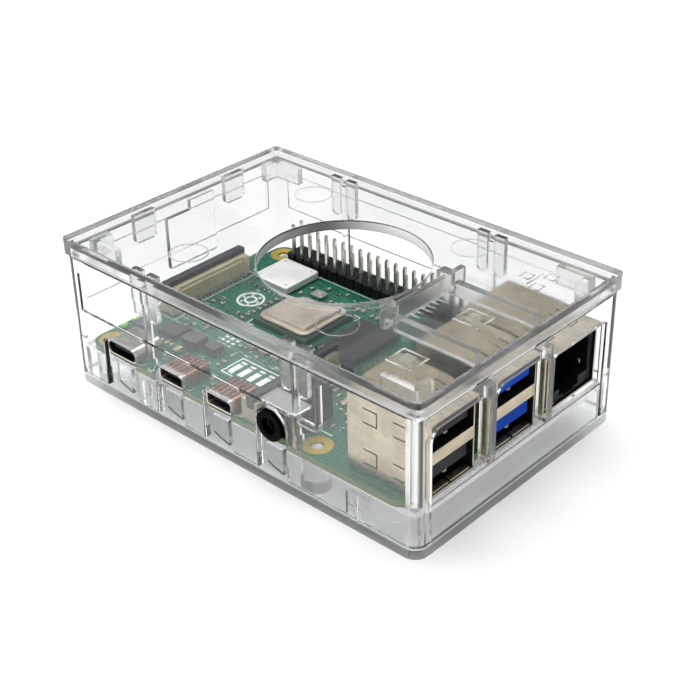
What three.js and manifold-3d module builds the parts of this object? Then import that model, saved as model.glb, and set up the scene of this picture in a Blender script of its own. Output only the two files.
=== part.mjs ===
// A single board computer in a clear snap-together case: base tray, four-walled frame and lid.
// Millimetres, +Z up. +X runs along the board to the USB end, +Y from the video edge to the pin header.
// Pieces are placed on the board's own datum: the corner of the board, at the level of its top face.
// The whole assembly is then moved so that the origin is the middle of the footprint, on the ground.
import * as THREE from 'three';
import { mergeVertices } from 'three/addons/utils/BufferGeometryUtils.js';
import Module from 'manifold-3d';

const wasm = await Module();
wasm.setup();

// ---------------------------------------------------------------- driving sizes: fits
const seatGap = 0.3;          // between two pieces that rest on each other
const slideGap = 0.3;         // between two pieces that slide past each other
const solderGap = 0.2;        // under every soldered component
const portGap = 0.35;         // round each connector in its notch
const lap = 0.2;              // how far a rib or a boss is sunk in the wall that carries it
const root = 0.5;             // how far a post, a pin or a tongue is sunk in what carries it
const cut = 1;                // how far a cutting shape runs past the face that it opens
const sliver = 0.1;           // how far a notch runs past the inner face of a wall

// ---------------------------------------------------------------- driving sizes: board
const boardLength = 85;
const boardWidth = 56;
const boardThickness = 1.4;
const boardCornerRadius = 3;
const holeInset = 3.5;
const holePitch = 58;
const holeRadius = 1.35;

// ---------------------------------------------------------------- driving sizes: case
const wall = 1.4;
const frontClearance = 0.5;       // board edge to the inner face, video side
const rearClearance = 1.3;        // board edge to the inner face, pin header side
const cardEndClearance = 2.2;     // board edge to the inner face, memory card end
const frameCornerRadius = 3;
const floorThickness = 1.6;
const underBoardSpace = 7.2;
const plinthHeight = 2.2;
const trayWall = 1.2;
const postRadius = 3;
const pegRadius = 1.05;
const pegDrop = 0.4;              // peg tip below the top face of the board
const footInset = 9;
const footRadius = 5;
const footDepth = 0.5;
const endSlab = 1.8;              // thickness of the base's slab under the USB end
const tab = { half: 2.1, heel: 0.6, shortReach: 4.2, middleReach: 4.9, longReach: 5.6, thickness: 0.9 };
const cardNotchLift = 2;          // the floor to the lower edge of the card notch in the tray
const cardNotchTop = 0.4;         // the frame's card notch above the underside of the board
const cardNotchMargin = 1;        // card socket's side to the notch's side
const frameHeadroom = 3.2;        // above the tallest connector
const railHeight = 3;             // full-thickness band along the top of the frame
const seamAboveJack = 0.75;       // jack's notch to the level where the thin upper panel starts
const ledgeThickness = 0.7;
const ledgeDepth = 4.5;
const ledgeMargin = 0.3;
const panelRecess = 0.45;
const cornerPostWidth = 4;
const cornerPostReachX = 2;       // inner face to the post's tip, along X
const cornerPostReachY = 1.2;     // inner face to the post's tip, along Y
const clampRibWidth = 1;
const clampRibDepth = 1.6;
const clampRibGap = 0.5;          // foot of a clamp rib to the board
const clampRibPlaces = [19.4, 59.6];
const clampFootLength = 2.4;
const clampToe = 0.6;             // how far the foot stands out from the rib
const guideReach = 6.2;           // guide beside the second clamp rib
const guideHeight = 6.2;
const guideBar = 1;
const guideDepth = 1.1;
const guideOuterRadius = 1.3;
const guideInnerRadius = 0.7;
const combThickness = 1;
const combFoot = 5;
const combLow = { y0: 23.6, drop: 2.5 };
const combHigh = { y0: 30.2, drop: 0.3 };
const combEnd = 37;
const sillHeight = 0.2;           // top of the base's end slab, above the board
const mullionDepth = 2.6;
const usbFaceLap = 0.7;           // frame lap over the top edge of the USB shells
const mullionSide = 0.45;         // notch edge beside the first USB stack
const mullionWidth = 1.9;
const mullionLap = 1;             // a mullion's top above the USB openings' top
const firstMullionShift = 0.85;   // off the middle between the two USB shells
const secondMullionShift = 0.5;   // off the middle between the USB and Ethernet shells
const usbArchRadius = 2.4;
const ethernetArchRadius = 0.6;
const underMullionDepth = 4;

const lidRimHeight = 3.4;
const lidPlate = 2;
const lidCornerRadius = 1;
const fanHoleRadius = 17;
const fanHolePlace = [45.7, 27.8];
const tongueWidth = 2.6;
const tongueThickness = 1.1;
const tongueReach = 7.5;          // below the underside of the lid
const tongueSpacing = 4.3;
const endTongueWidth = 5.6;
const endTongueReach = 5;
const endTonguePlaces = [17.4, 42.8];
const cornerRibLeg = 8;
const cornerRibWall = 1.5;
const cornerRibInset = 2.5;       // inner faces of the frame to the rib
const cornerRibShort = 4.8;
const cornerRibReach = 2.4;
const finThickness = 1.2;
const finPlace = 63;
const finStart = 18.5;
const finLength = 23.5;
const finReach = 2.2;
const finTabLength = 2.4;
const finTabThickness = 2;
const finTabStarts = [2, 18.5];
const tongueRound = 1;
const portRibWall = 1.6;
const portRibStart = 66.5;
const portRibReach = 1.4;

// ---------------------------------------------------------------- driving sizes: connectors
const shellWall = 0.35;
const shellClearance = 0.15;      // inner face of a port's shell to its insulator
const shellMinRadius = 0.2;
const usbC = { place: 11.2, width: 8.94, height: 3.26, depth: 7.4, reach: 1.2, archRadius: 1.2 };
const usbCTongue = { half: 3.3, bottom: 1.28, top: 1.98, front: 0.9 };
const microVideo = {
  places: [26, 39.5], width: 7, height: 3, depth: 7.6, reach: 1.2, radius: 0.7, archRadius: 0.8,
};
const microVideoTongue = { half: 2.5, bottom: 1.2, top: 1.75, front: 1 };
const tongueRootStart = 0.62;     // share of a port's depth where its insulator's root begins
const tongueRootLap = 0.6;
const jack = {
  place: 54, width: 7, height: 6.4, depth: 12, barrelReach: 2.4, bodySetback: 0.1, bore: 1.75, back: 1.5,
};
const ribbon = {
  length: 21.8, width: 4.2, height: 4.4, slot: 1, slotStart: 1, slotFloor: 1.2, slotEnd: 1,
};
const latch = { overhang: 0.35, width: 1.8, lead: 0.6, cap: 1.1, lift: 0.2, bladeInset: 1.8, bladeFoot: 2 };
const cameraPlace = [46.6, 11.6];
const displayPlace = [4, 28.6];
const usb = { width: 13.14, height: 16, depth: 17.5, reach: 2.5, wall: 0.4, bar: 1.9, barDepth: 6 };
const insertClearance = 0.2;      // inner face of a large shell to the plastic in it
const usbInsert = {
  rootFront: 9.5, tongueFront: 0.9, tongueSide: 1.1, tongueRise: 0.52, tongueThickness: 1.9,
};
const usbPlaces = [9, 27];
const ethernet = { place: 45.75, width: 16, height: 13.5, depth: 21.3, reach: 2.2, wall: 0.45 };
const plug = { half: 5.95, bottom: 3.2, top: 11, depth: 13, setback: 0.4 };
const plugLatch = { half: 3.1, bottom: 1.5, keyHalf: 1.6, keyBottom: 1, depth: 9 };
const contact = { count: 8, pitch: 1.02, thickness: 0.4, bottom: 9.6, start: 11.9, end: 4.5 };
const contactCarrier = { half: 4.6, bottom: 9.4, top: 10.4, back: 12.6, front: 11.8 };
const header = { pitch: 2.54, columns: 20, height: 2.5, pinTop: 8.5, pin: 0.64, firstPin: 8.37, row: 51.23 };
const powerHeader = { place: [60.2, 44.4], columns: 2 };
const card = { start: 0.8, length: 14.2, width: 12, height: 1.5, place: 28, wall: 0.25 };

// ---------------------------------------------------------------- worked-out places
const cardNotchWidth = card.width + 2 * cardNotchMargin;
const seamHeight = solderGap + jack.height + portGap + seamAboveJack;
const caseX0 = -cardEndClearance - wall;
const usbFront = boardLength + usb.reach;
const innerX1 = usbFront + slideGap;
const caseX1 = innerX1 + wall;
const caseY0 = -frontClearance - wall;
const caseY1 = boardWidth + rearClearance + wall;
const boardUnderside = -boardThickness;
const floorTop = boardUnderside - underBoardSpace;
const groundLevel = floorTop - floorThickness;
const plinthTop = groundLevel + plinthHeight;
const frameBottom = plinthTop + seatGap;
const frameTop = usb.height + frameHeadroom;
const lidBottom = frameTop + seatGap;
const lidTop = lidBottom + lidRimHeight;
const lidUnderside = lidTop - lidPlate;
const innerX0 = caseX0 + wall;
const innerY0 = caseY0 + wall;
const innerY1 = caseY1 - wall;
const trayTop = boardUnderside - seatGap;
const holePlaces = [
  [holeInset, holeInset],
  [holeInset + holePitch, holeInset],
  [holeInset, boardWidth - holeInset],
  [holeInset + holePitch, boardWidth - holeInset],
];
const jackFront = jack.bodySetback - jack.barrelReach;
const lowestY = Math.min(caseY0, jackFront);

// ---------------------------------------------------------------- solids
function solid(geometry) {
  const bare = geometry.clone();
  bare.deleteAttribute('normal');
  bare.deleteAttribute('uv');
  const merged = mergeVertices(bare, 1e-5);
  return new wasm.Manifold(new wasm.Mesh({
    numProp: 3,
    vertProperties: new Float32Array(merged.attributes.position.array),
    triVerts: new Uint32Array(merged.index.array),
  }));
}

function block(x0, x1, y0, y1, z0, z1) {
  const geometry = new THREE.BoxGeometry(x1 - x0, y1 - y0, z1 - z0);
  geometry.translate((x0 + x1) / 2, (y0 + y1) / 2, (z0 + z1) / 2);
  return solid(geometry);
}

function rod(x, y, radius, z0, z1, sides = 28) {
  const geometry = new THREE.CylinderGeometry(radius, radius, z1 - z0, sides);
  geometry.rotateX(Math.PI / 2);
  geometry.translate(x, y, (z0 + z1) / 2);
  return solid(geometry);
}

function rodAlongY(x, z, radius, y0, y1, sides = 32) {
  const geometry = new THREE.CylinderGeometry(radius, radius, y1 - y0, sides);
  geometry.translate(x, (y0 + y1) / 2, z);
  return solid(geometry);
}

function roundedRectangle(x0, x1, y0, y1, radius) {
  const shape = new THREE.Shape();
  shape.moveTo(x0 + radius, y0);
  shape.lineTo(x1 - radius, y0);
  shape.absarc(x1 - radius, y0 + radius, radius, -Math.PI / 2, 0);
  shape.lineTo(x1, y1 - radius);
  shape.absarc(x1 - radius, y1 - radius, radius, 0, Math.PI / 2);
  shape.lineTo(x0 + radius, y1);
  shape.absarc(x0 + radius, y1 - radius, radius, Math.PI / 2, Math.PI);
  shape.lineTo(x0, y0 + radius);
  shape.absarc(x0 + radius, y0 + radius, radius, Math.PI, Math.PI * 1.5);
  return shape;
}

function polygon(points) {
  const shape = new THREE.Shape();
  shape.moveTo(...points[0]);
  points.slice(1).forEach((point) => shape.lineTo(...point));
  return shape;
}

function extrude(shape, depth, curveSegments) {
  return new THREE.ExtrudeGeometry(shape, { depth, bevelEnabled: false, curveSegments });
}

// A shape drawn in X and Y, standing from z0 to z1.
function upright(shape, z0, z1, curveSegments = 6) {
  return solid(extrude(shape, z1 - z0, curveSegments).translate(0, 0, z0));
}

// A shape drawn in X and Z, running from y0 to y1.
function alongY(shape, y0, y1, curveSegments = 6) {
  const geometry = extrude(shape, y1 - y0, curveSegments);
  geometry.rotateX(Math.PI / 2);
  return solid(geometry.translate(0, y1, 0));
}

// A shape drawn in Y and Z, running from x0 to x1.
function alongX(shape, x0, x1, curveSegments = 6) {
  const geometry = extrude(shape, x1 - x0, curveSegments);
  geometry.applyMatrix4(new THREE.Matrix4().set(0, 0, 1, 0, 1, 0, 0, 0, 0, 1, 0, 0, 0, 0, 0, 1));
  return solid(geometry.translate(x0, 0, 0));
}

function joined(pieces) {
  return pieces.reduce((whole, piece) => whole.add(piece));
}

function without(body, tools) {
  return tools.reduce((left, tool) => left.subtract(tool), body);
}

function geometryOf(manifold) {
  const mesh = manifold.getMesh();
  const geometry = new THREE.BufferGeometry();
  geometry.setAttribute('position', new THREE.BufferAttribute(new Float32Array(mesh.vertProperties), 3));
  geometry.setIndex(new THREE.BufferAttribute(new Uint32Array(mesh.triVerts), 1));
  geometry.computeVertexNormals();
  return geometry;
}

// ---------------------------------------------------------------- materials
const finish = {
  clearPlastic: () => new THREE.MeshStandardMaterial({
    color: 0xf2f4f3, roughness: 0.06, metalness: 0, transparent: true, opacity: 0.35,
  }),
  greenBoard: () => new THREE.MeshStandardMaterial({ color: 0x1f7a55, roughness: 0.4, metalness: 0 }),
  chipBlack: () => new THREE.MeshStandardMaterial({ color: 0x23262c, roughness: 0.5, metalness: 0 }),
  chipBase: () => new THREE.MeshStandardMaterial({ color: 0x24402f, roughness: 0.5, metalness: 0 }),
  tin: () => new THREE.MeshStandardMaterial({ color: 0xc2b8a0, roughness: 0.32, metalness: 1 }),
  nickel: () => new THREE.MeshStandardMaterial({ color: 0xb9ae9e, roughness: 0.28, metalness: 1 }),
  blackPlastic: () => new THREE.MeshStandardMaterial({ color: 0x101113, roughness: 0.4, metalness: 0 }),
  bluePlastic: () => new THREE.MeshStandardMaterial({ color: 0x1450c8, roughness: 0.4, metalness: 0 }),
  beigePlastic: () => new THREE.MeshStandardMaterial({ color: 0xb8ae8c, roughness: 0.5, metalness: 0 }),
  slatePlastic: () => new THREE.MeshStandardMaterial({ color: 0x2c3038, roughness: 0.45, metalness: 0 }),
  ferrite: () => new THREE.MeshStandardMaterial({ color: 0x3a3c40, roughness: 0.7, metalness: 0 }),
  ledResin: () => new THREE.MeshStandardMaterial({ color: 0x7bd957, roughness: 0.3, metalness: 0 }),
};

const assembly = new THREE.Group();

function place(name, manifold, material, position = [0, 0, 0], turn = 0) {
  const mesh = new THREE.Mesh(geometryOf(manifold), material);
  mesh.name = name;
  mesh.position.set(...position);
  mesh.rotation.z = turn;
  assembly.add(mesh);
  return mesh;
}

// ---------------------------------------------------------------- case: shared outlines
function footprint(inset, radius) {
  return roundedRectangle(caseX0 + inset, caseX1 - inset, caseY0 + inset, caseY1 - inset, radius);
}

function trayOutline(inset) {
  const gap = slideGap + inset;
  const radius = Math.max(frameCornerRadius - wall - gap, 0.4);
  return roundedRectangle(innerX0 + gap, innerX1 - gap, innerY0 + gap, innerY1 - gap, radius);
}

// Each notch on the video side: its middle, its half width, its top and how round its top is.
const frontNotches = [
  {
    x: usbC.place,
    half: usbC.width / 2 + portGap,
    top: solderGap + usbC.height + portGap,
    radius: usbC.archRadius,
  },
  ...microVideo.places.map((x) => ({
    x,
    half: microVideo.width / 2 + portGap,
    top: solderGap + microVideo.height + portGap,
    radius: microVideo.archRadius,
  })),
  {
    x: jack.place,
    half: jack.width / 2 + portGap,
    top: solderGap + jack.height + portGap,
    radius: jack.width / 2 + portGap,
  },
];

function archShape(x0, x1, z0, z1, radius) {
  const round = Math.min(radius, (x1 - x0) / 2 - 0.01);
  const shape = new THREE.Shape();
  shape.moveTo(x0, z0);
  shape.lineTo(x1, z0);
  shape.lineTo(x1, z1 - round);
  shape.absarc(x1 - round, z1 - round, round, 0, Math.PI / 2);
  shape.lineTo(x0 + round, z1);
  shape.absarc(x0 + round, z1 - round, round, Math.PI / 2, Math.PI);
  return shape;
}

// The three openings of the USB end, from the low edge in Y to the high edge, and their tops.
const firstOpening = usbPlaces[0] - usb.width / 2 - mullionSide;
const firstMullion = (usbPlaces[0] + usbPlaces[1]) / 2 + firstMullionShift;
const usbEdge = usbPlaces[1] + usb.width / 2;
const ethernetEdge = ethernet.place - ethernet.width / 2;
const secondMullion = (usbEdge + ethernetEdge) / 2 + secondMullionShift;
const lastOpening = ethernet.place + ethernet.width / 2 + portGap;
const usbOpeningTop = solderGap + usb.height - usbFaceLap;
const ethernetOpeningTop = solderGap + ethernet.height + portGap;
const endOpenings = [
  { y0: firstOpening, y1: firstMullion - mullionWidth / 2, top: usbOpeningTop, radius: usbArchRadius },
  {
    y0: firstMullion + mullionWidth / 2,
    y1: secondMullion - mullionWidth / 2,
    top: usbOpeningTop,
    radius: usbArchRadius,
  },
  {
    y0: secondMullion + mullionWidth / 2,
    y1: lastOpening,
    top: ethernetOpeningTop,
    radius: ethernetArchRadius,
  },
];

// Snap bosses stand in pairs on the long walls of the tray.
const bossPlaces = [19.3, 74.4];
const bossSpacing = 2.4;
const bossWidth = 1.5;
const bossReach = 0.5;
const bossTop = -2.4;
const bossHeight = 3.3;
const bossGap = 0.25;

// ---------------------------------------------------------------- case base
function bossProfile(x, grow, z0) {
  const half = bossWidth / 2 + grow;
  return archShape(x - half, x + half, z0, bossTop + grow, half);
}

function snapBosses(grow, z0, y0, y1) {
  return bossPlaces.flatMap((middle) => [-1, 1].map((side) => (
    alongY(bossProfile(middle + side * bossSpacing / 2, grow, z0), y0, y1)
  )));
}

function caseBase() {
  const trayFront = innerY0 + slideGap;
  const trayRear = innerY1 - slideGap;
  const cardEdge = card.place + cardNotchWidth / 2 + slideGap;
  let body = upright(footprint(0, frameCornerRadius), groundLevel, plinthTop);
  body = body.add(upright(trayOutline(0), floorTop, trayTop));
  body = body.subtract(upright(trayOutline(trayWall), floorTop, trayTop + cut));
  const slabX1 = caseX1 - slideGap;
  const slabY0 = firstOpening + slideGap;
  const slabY1 = lastOpening - slideGap;
  const posts = holePlaces.flatMap(([x, y]) => [
    rod(x, y, postRadius, floorTop - root, trayTop),
    rod(x, y, pegRadius, trayTop - root, -pegDrop),
  ]);
  const tabs = frontNotches.map(({ x }) => alongY(polygon([
    [x - tab.half, trayTop],
    [x - tab.half, trayTop - tab.shortReach],
    [x - tab.heel, trayTop - tab.middleReach],
    [x + tab.half, trayTop - tab.longReach],
    [x + tab.half, trayTop],
  ]), trayFront - tab.thickness, trayFront + sliver));
  const parts = [
    body,
    block(slabX1 - endSlab, slabX1, slabY0, slabY1, plinthTop - root, trayTop),
    block(usbFront + slideGap, slabX1, slabY0, slabY1, trayTop - root, sillHeight),
    ...posts,
    ...tabs,
    ...snapBosses(0, bossTop - bossHeight, trayFront - bossReach, trayFront + sliver),
    ...snapBosses(0, bossTop - bossHeight, trayRear - sliver, trayRear + bossReach),
  ];
  const footRecesses = [footInset, boardLength - footInset].flatMap((x) => (
    [footInset, boardWidth - footInset].map((y) => (
      rod(x, y, footRadius, groundLevel - cut, groundLevel + footDepth)
    ))
  ));
  const cardNotch = block(
    innerX0, innerX0 + slideGap + trayWall + sliver,
    card.place * 2 - cardEdge, cardEdge,
    floorTop + cardNotchLift, trayTop + cut,
  );
  return without(joined(parts), [...footRecesses, cardNotch]);
}

// ---------------------------------------------------------------- case frame
function panelRecesses() {
  const z0 = seamHeight;
  const z1 = frameTop - railHeight;
  const x0 = caseX0 + cornerPostWidth;
  const x1 = clampRibPlaces[1] + clampRibWidth / 2;
  const y0 = caseY0 + cornerPostWidth;
  const y1 = caseY1 - cornerPostWidth;
  return [
    block(x0, x1, caseY0 - cut, caseY0 + panelRecess, z0, z1),
    block(x0, caseX1 - cornerPostWidth, caseY1 - panelRecess, caseY1 + cut, z0, z1),
    block(caseX0 - cut, caseX0 + panelRecess, y0, y1, z0, z1),
  ];
}

function clampRib(x, edge, inward) {
  const half = clampRibWidth / 2;
  const tip = edge + inward * clampRibDepth;
  const foot = edge + inward * (clampRibDepth + clampToe);
  const rib = block(
    x - half, x + half, Math.min(edge, tip), Math.max(edge, tip), clampRibGap, frameTop,
  );
  const toe = block(
    x - half, x + half,
    Math.min(edge, foot), Math.max(edge, foot),
    clampRibGap, clampRibGap + clampFootLength,
  );
  return rib.add(toe);
}

function caseFrame() {
  const inside = upright(
    footprint(wall, frameCornerRadius - wall), frameBottom - cut, frameTop + cut,
  );
  let body = upright(footprint(0, frameCornerRadius), frameBottom, frameTop).subtract(inside);
  body = without(body, panelRecesses());

  const ribRoot = innerY0 - lap;
  const ribs = clampRibPlaces.flatMap((x) => [
    clampRib(x, ribRoot, 1),
    clampRib(x, innerY1 + lap, -1),
  ]);
  const cornerPosts = [[innerX0 - lap, 1], [innerX1 + lap, -1]].flatMap(([x, dx]) => (
    [[innerY0 - lap, 1], [innerY1 + lap, -1]].map(([y, dy]) => {
      const xTip = x + dx * (cornerPostReachX + lap);
      const yTip = y + dy * (cornerPostReachY + lap);
      return block(
        Math.min(x, xTip), Math.max(x, xTip), Math.min(y, yTip), Math.max(y, yTip), clampRibGap, frameTop,
      );
    })
  ));

  const guideX0 = clampRibPlaces[1];
  const guideX1 = guideX0 + guideReach;
  const guideTop = frameTop - railHeight;
  const guideOverrun = guideTop + guideReach;
  const guideOuter = roundedRectangle(guideX0, guideX1, guideHeight, guideOverrun, guideOuterRadius);
  const guideInner = roundedRectangle(
    guideX0 + clampRibWidth / 2, guideX1 - guideBar,
    guideHeight + guideBar, guideOverrun + cut,
    guideInnerRadius,
  );
  const guideY1 = innerY0 + guideDepth;
  const guide = alongY(guideOuter, ribRoot, guideY1)
    .subtract(alongY(guideInner, ribRoot - cut, guideY1 + cut))
    .subtract(block(
      guideX0 - cut, guideX1 + cut, ribRoot - cut, guideY1 + cut, guideTop, guideOverrun + cut,
    ));

  const ledge = block(
    jack.place - jack.width / 2 + ledgeMargin, clampRibPlaces[1],
    ribRoot, innerY0 + ledgeDepth,
    seamHeight - ledgeThickness, seamHeight,
  );

  const combX1 = innerX0 + combThickness;
  const comb = [combLow, combHigh].map(({ y0, drop }) => (
    block(innerX0 - lap, combX1, y0, combEnd, combFoot, frameTop - drop)
  ));

  const mullions = [firstMullion, secondMullion].map((y) => block(
    innerX1 - mullionDepth + wall, innerX1 + lap,
    y - mullionWidth / 2, y + mullionWidth / 2,
    sillHeight + seatGap, usbOpeningTop + mullionLap,
  ));

  body = joined([body, ...ribs, ...cornerPosts, guide, ledge, ...comb, ...mullions]);

  const frontTools = frontNotches.map(({ x, half, top, radius }) => (
    alongY(archShape(x - half, x + half, frameBottom - cut, top, radius), caseY0 - cut, innerY0 + sliver, 8)
  ));
  const endTools = endOpenings.map(({ y0, y1, top, radius }) => (
    alongX(archShape(y0, y1, frameBottom - cut, top, radius), innerX1 - sliver, caseX1 + cut)
  ));
  const underMullions = block(
    innerX1 - underMullionDepth, caseX1 + cut,
    firstOpening, lastOpening,
    frameBottom - cut, sillHeight + seatGap,
  );
  const cardHalf = cardNotchWidth / 2;
  const cardNotch = block(
    caseX0 - cut, innerX0 + sliver,
    card.place - cardHalf, card.place + cardHalf,
    frameBottom - cut, boardUnderside + cardNotchTop,
  );
  const grooves = [
    ...snapBosses(bossGap, frameBottom - cut, innerY0 - bossReach, innerY0 + sliver),
    ...snapBosses(bossGap, frameBottom - cut, innerY1 - sliver, innerY1 + bossReach),
  ];
  return without(body, [...frontTools, ...endTools, underMullions, cardNotch, ...grooves]);
}

// ---------------------------------------------------------------- case lid
function tongueShape(middle, width, bottom) {
  const half = width / 2;
  const round = Math.min(tongueRound, half - sliver);
  const shape = new THREE.Shape();
  shape.moveTo(middle - half, lidUnderside + root);
  shape.lineTo(middle - half, bottom + round);
  shape.absarc(middle - half + round, bottom + round, round, Math.PI, Math.PI * 1.5);
  shape.lineTo(middle + half - round, bottom);
  shape.absarc(middle + half - round, bottom + round, round, -Math.PI / 2, 0);
  shape.lineTo(middle + half, lidUnderside + root);
  return shape;
}

function lidTongues() {
  const bottom = lidBottom - tongueReach;
  const front = innerY0 + slideGap;
  const rear = innerY1 - slideGap;
  const sides = clampRibPlaces.flatMap((x) => [-1, 1].flatMap((side) => {
    const shape = tongueShape(x + side * tongueSpacing / 2, tongueWidth, bottom);
    return [
      alongY(shape, front, front + tongueThickness),
      alongY(shape, rear - tongueThickness, rear),
    ];
  }));
  const ends = endTonguePlaces.map((y) => alongX(
    tongueShape(y, endTongueWidth, lidBottom - endTongueReach),
    innerX0 + slideGap, innerX0 + slideGap + tongueThickness,
  ));
  return [...sides, ...ends];
}

// One L-shaped rib stands inside each corner of the lid.
function cornerRib(dx, dy) {
  const x = dx > 0 ? innerX0 + cornerRibInset : innerX1 - cornerRibInset;
  const y = dy > 0 ? innerY0 + cornerRibInset : innerY1 - cornerRibInset;
  const z0 = lidBottom - cornerRibReach;
  const z1 = lidUnderside + root;
  const range = (from, length) => [Math.min(from, from + length), Math.max(from, from + length)];
  return [
    block(...range(x, dx * cornerRibLeg), ...range(y, dy * cornerRibWall), z0, z1),
    block(...range(x, dx * cornerRibWall), ...range(y, dy * cornerRibShort), z0, z1),
  ];
}

function cableFin() {
  const z1 = lidUnderside + root;
  const z0 = lidBottom - finReach;
  const x1 = finPlace + finThickness;
  const tabs = finTabStarts.map((start) => (
    block(finPlace - finTabThickness, x1, finStart + start, finStart + start + finTabLength, z0, z1)
  ));
  return [block(finPlace, x1, finStart, finStart + finLength, z0, z1), ...tabs];
}

function caseLid() {
  const plate = upright(footprint(0, lidCornerRadius), lidBottom, lidTop);
  const hollow = upright(footprint(wall, lidCornerRadius), lidBottom - cut, lidUnderside);
  const [fanX, fanY] = fanHolePlace;
  const portRibs = [firstMullion, secondMullion].map((y) => block(
    portRibStart, innerX1 - mullionDepth, y - portRibWall / 2, y + portRibWall / 2,
    lidBottom - portRibReach, lidUnderside + root,
  ));
  const corners = [[1, 1], [1, -1], [-1, 1], [-1, -1]].flatMap(([dx, dy]) => cornerRib(dx, dy));
  const body = joined([
    plate.subtract(hollow), ...lidTongues(), ...corners, ...cableFin(), ...portRibs,
  ]);
  return body.subtract(rod(fanX, fanY, fanHoleRadius, lidBottom - cut, lidTop + cut, 64));
}

// ---------------------------------------------------------------- board and chips
function circuitBoard() {
  const outline = roundedRectangle(0, boardLength, 0, boardWidth, boardCornerRadius);
  const holes = holePlaces.map(([x, y]) => rod(x, y, holeRadius, -boardThickness - cut, cut, 24));
  return without(upright(outline, -boardThickness, 0), holes);
}

// A chip stands on its own middle, solderGap above the board, with a small step at its top edge.
function chip(width, length, height, step = 0.15) {
  const corner = 0.2;
  const lower = upright(
    roundedRectangle(-width / 2, width / 2, -length / 2, length / 2, corner), 0, height - step, 2,
  );
  const topWidth = width / 2 - step;
  const topLength = length / 2 - step;
  return lower.add(upright(
    roundedRectangle(-topWidth, topWidth, -topLength, topLength, corner), height - step - sliver, height, 2,
  ));
}

// ---------------------------------------------------------------- connectors
// A shell open at its front, with its mouth along -Y at y = 0, its middle at x = 0 and its base at z = 0.
function portShell(width, height, depth, radius) {
  const outer = alongY(roundedRectangle(-width / 2, width / 2, 0, height, radius), 0, depth);
  const half = width / 2 - shellWall;
  const bore = alongY(
    roundedRectangle(
      -half, half, shellWall, height - shellWall, Math.max(radius - shellWall, shellMinRadius),
    ),
    -cut, depth - shellWall,
  );
  return outer.subtract(bore);
}

// The plastic tongue and its root block inside such a shell.
function portTongue(width, height, depth, radius, tongue) {
  const gap = shellWall + shellClearance;
  const rootStart = depth * tongueRootStart;
  const rootBlock = alongY(
    roundedRectangle(
      -width / 2 + gap, width / 2 - gap, gap, height - gap, Math.max(radius - gap, shellMinRadius),
    ),
    rootStart, depth - gap,
  );
  return rootBlock.add(block(
    -tongue.half, tongue.half, tongue.front, rootStart + tongueRootLap, tongue.bottom, tongue.top,
  ));
}

function audioJack() {
  const half = jack.width / 2;
  const axis = jack.height / 2;
  const body = block(-half, half, 0, jack.depth, 0, jack.height);
  const barrel = rodAlongY(0, axis, jack.height / 2, -jack.barrelReach, lap, 40);
  const bore = rodAlongY(0, axis, jack.bore, -jack.barrelReach - cut, jack.depth - jack.back, 24);
  return body.add(barrel).subtract(bore);
}

// A ribbon cable connector: its middle at x = y = 0 and its base at z = 0, its length along Y.
function ribbonBody() {
  const half = ribbon.length / 2;
  const x0 = -ribbon.width / 2;
  const body = block(x0, ribbon.width / 2, -half, half, 0, ribbon.height);
  const slotX0 = x0 + ribbon.slotStart;
  const slot = block(
    slotX0, slotX0 + ribbon.slot,
    -half + ribbon.slotEnd, half - ribbon.slotEnd,
    ribbon.slotFloor, ribbon.height + cut,
  );
  return body.subtract(slot);
}

function ribbonLatch() {
  const half = ribbon.length / 2 + latch.overhang;
  const bladeX0 = -ribbon.width / 2 + ribbon.slotStart + slideGap;
  const bladeX1 = bladeX0 + ribbon.slot - 2 * slideGap;
  const z0 = ribbon.height + latch.lift;
  const capX0 = bladeX0 - latch.lead;
  const cap = block(capX0, capX0 + latch.width, -half, half, z0, z0 + latch.cap);
  const blade = block(
    bladeX0, bladeX1, -half + latch.bladeInset, half - latch.bladeInset, latch.bladeFoot, z0 + lap,
  );
  return cap.add(blade);
}

// A stacked pair of sockets in one shell: mouth at x = 0 facing +X, middle at y = 0, base at z = 0.
function usbShell() {
  const half = usb.width / 2;
  const outer = block(-usb.depth, 0, -half, half, 0, usb.height);
  const bore = block(
    -usb.depth + usb.wall, cut, -half + usb.wall, half - usb.wall, usb.wall, usb.height - usb.wall,
  );
  const barHalf = half - sliver;
  const bar = block(
    -usb.barDepth, 0, -barHalf, barHalf, usb.height / 2 - usb.bar / 2, usb.height / 2 + usb.bar / 2,
  );
  return outer.subtract(bore).add(bar);
}

function usbInsulator() {
  const gap = usb.wall + insertClearance;
  const half = usb.width / 2 - gap;
  const tongueHalf = half - usbInsert.tongueSide;
  const rootBlock = block(-usb.depth + gap, -usbInsert.rootFront, -half, half, gap, usb.height - gap);
  const socketHeight = (usb.height - usb.bar) / 2;
  const tongues = [0, socketHeight + usb.bar].map((floor) => {
    const z = floor + socketHeight * usbInsert.tongueRise;
    return block(
      -usbInsert.rootFront - root, -usbInsert.tongueFront,
      -tongueHalf, tongueHalf,
      z, z + usbInsert.tongueThickness,
    );
  });
  return joined([rootBlock, ...tongues]);
}

function ethernetShell() {
  const half = ethernet.width / 2;
  const outer = block(-ethernet.depth, 0, -half, half, 0, ethernet.height);
  const bore = block(
    -ethernet.depth + ethernet.wall, cut,
    -half + ethernet.wall, half - ethernet.wall,
    ethernet.wall, ethernet.height - ethernet.wall,
  );
  return outer.subtract(bore);
}

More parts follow.
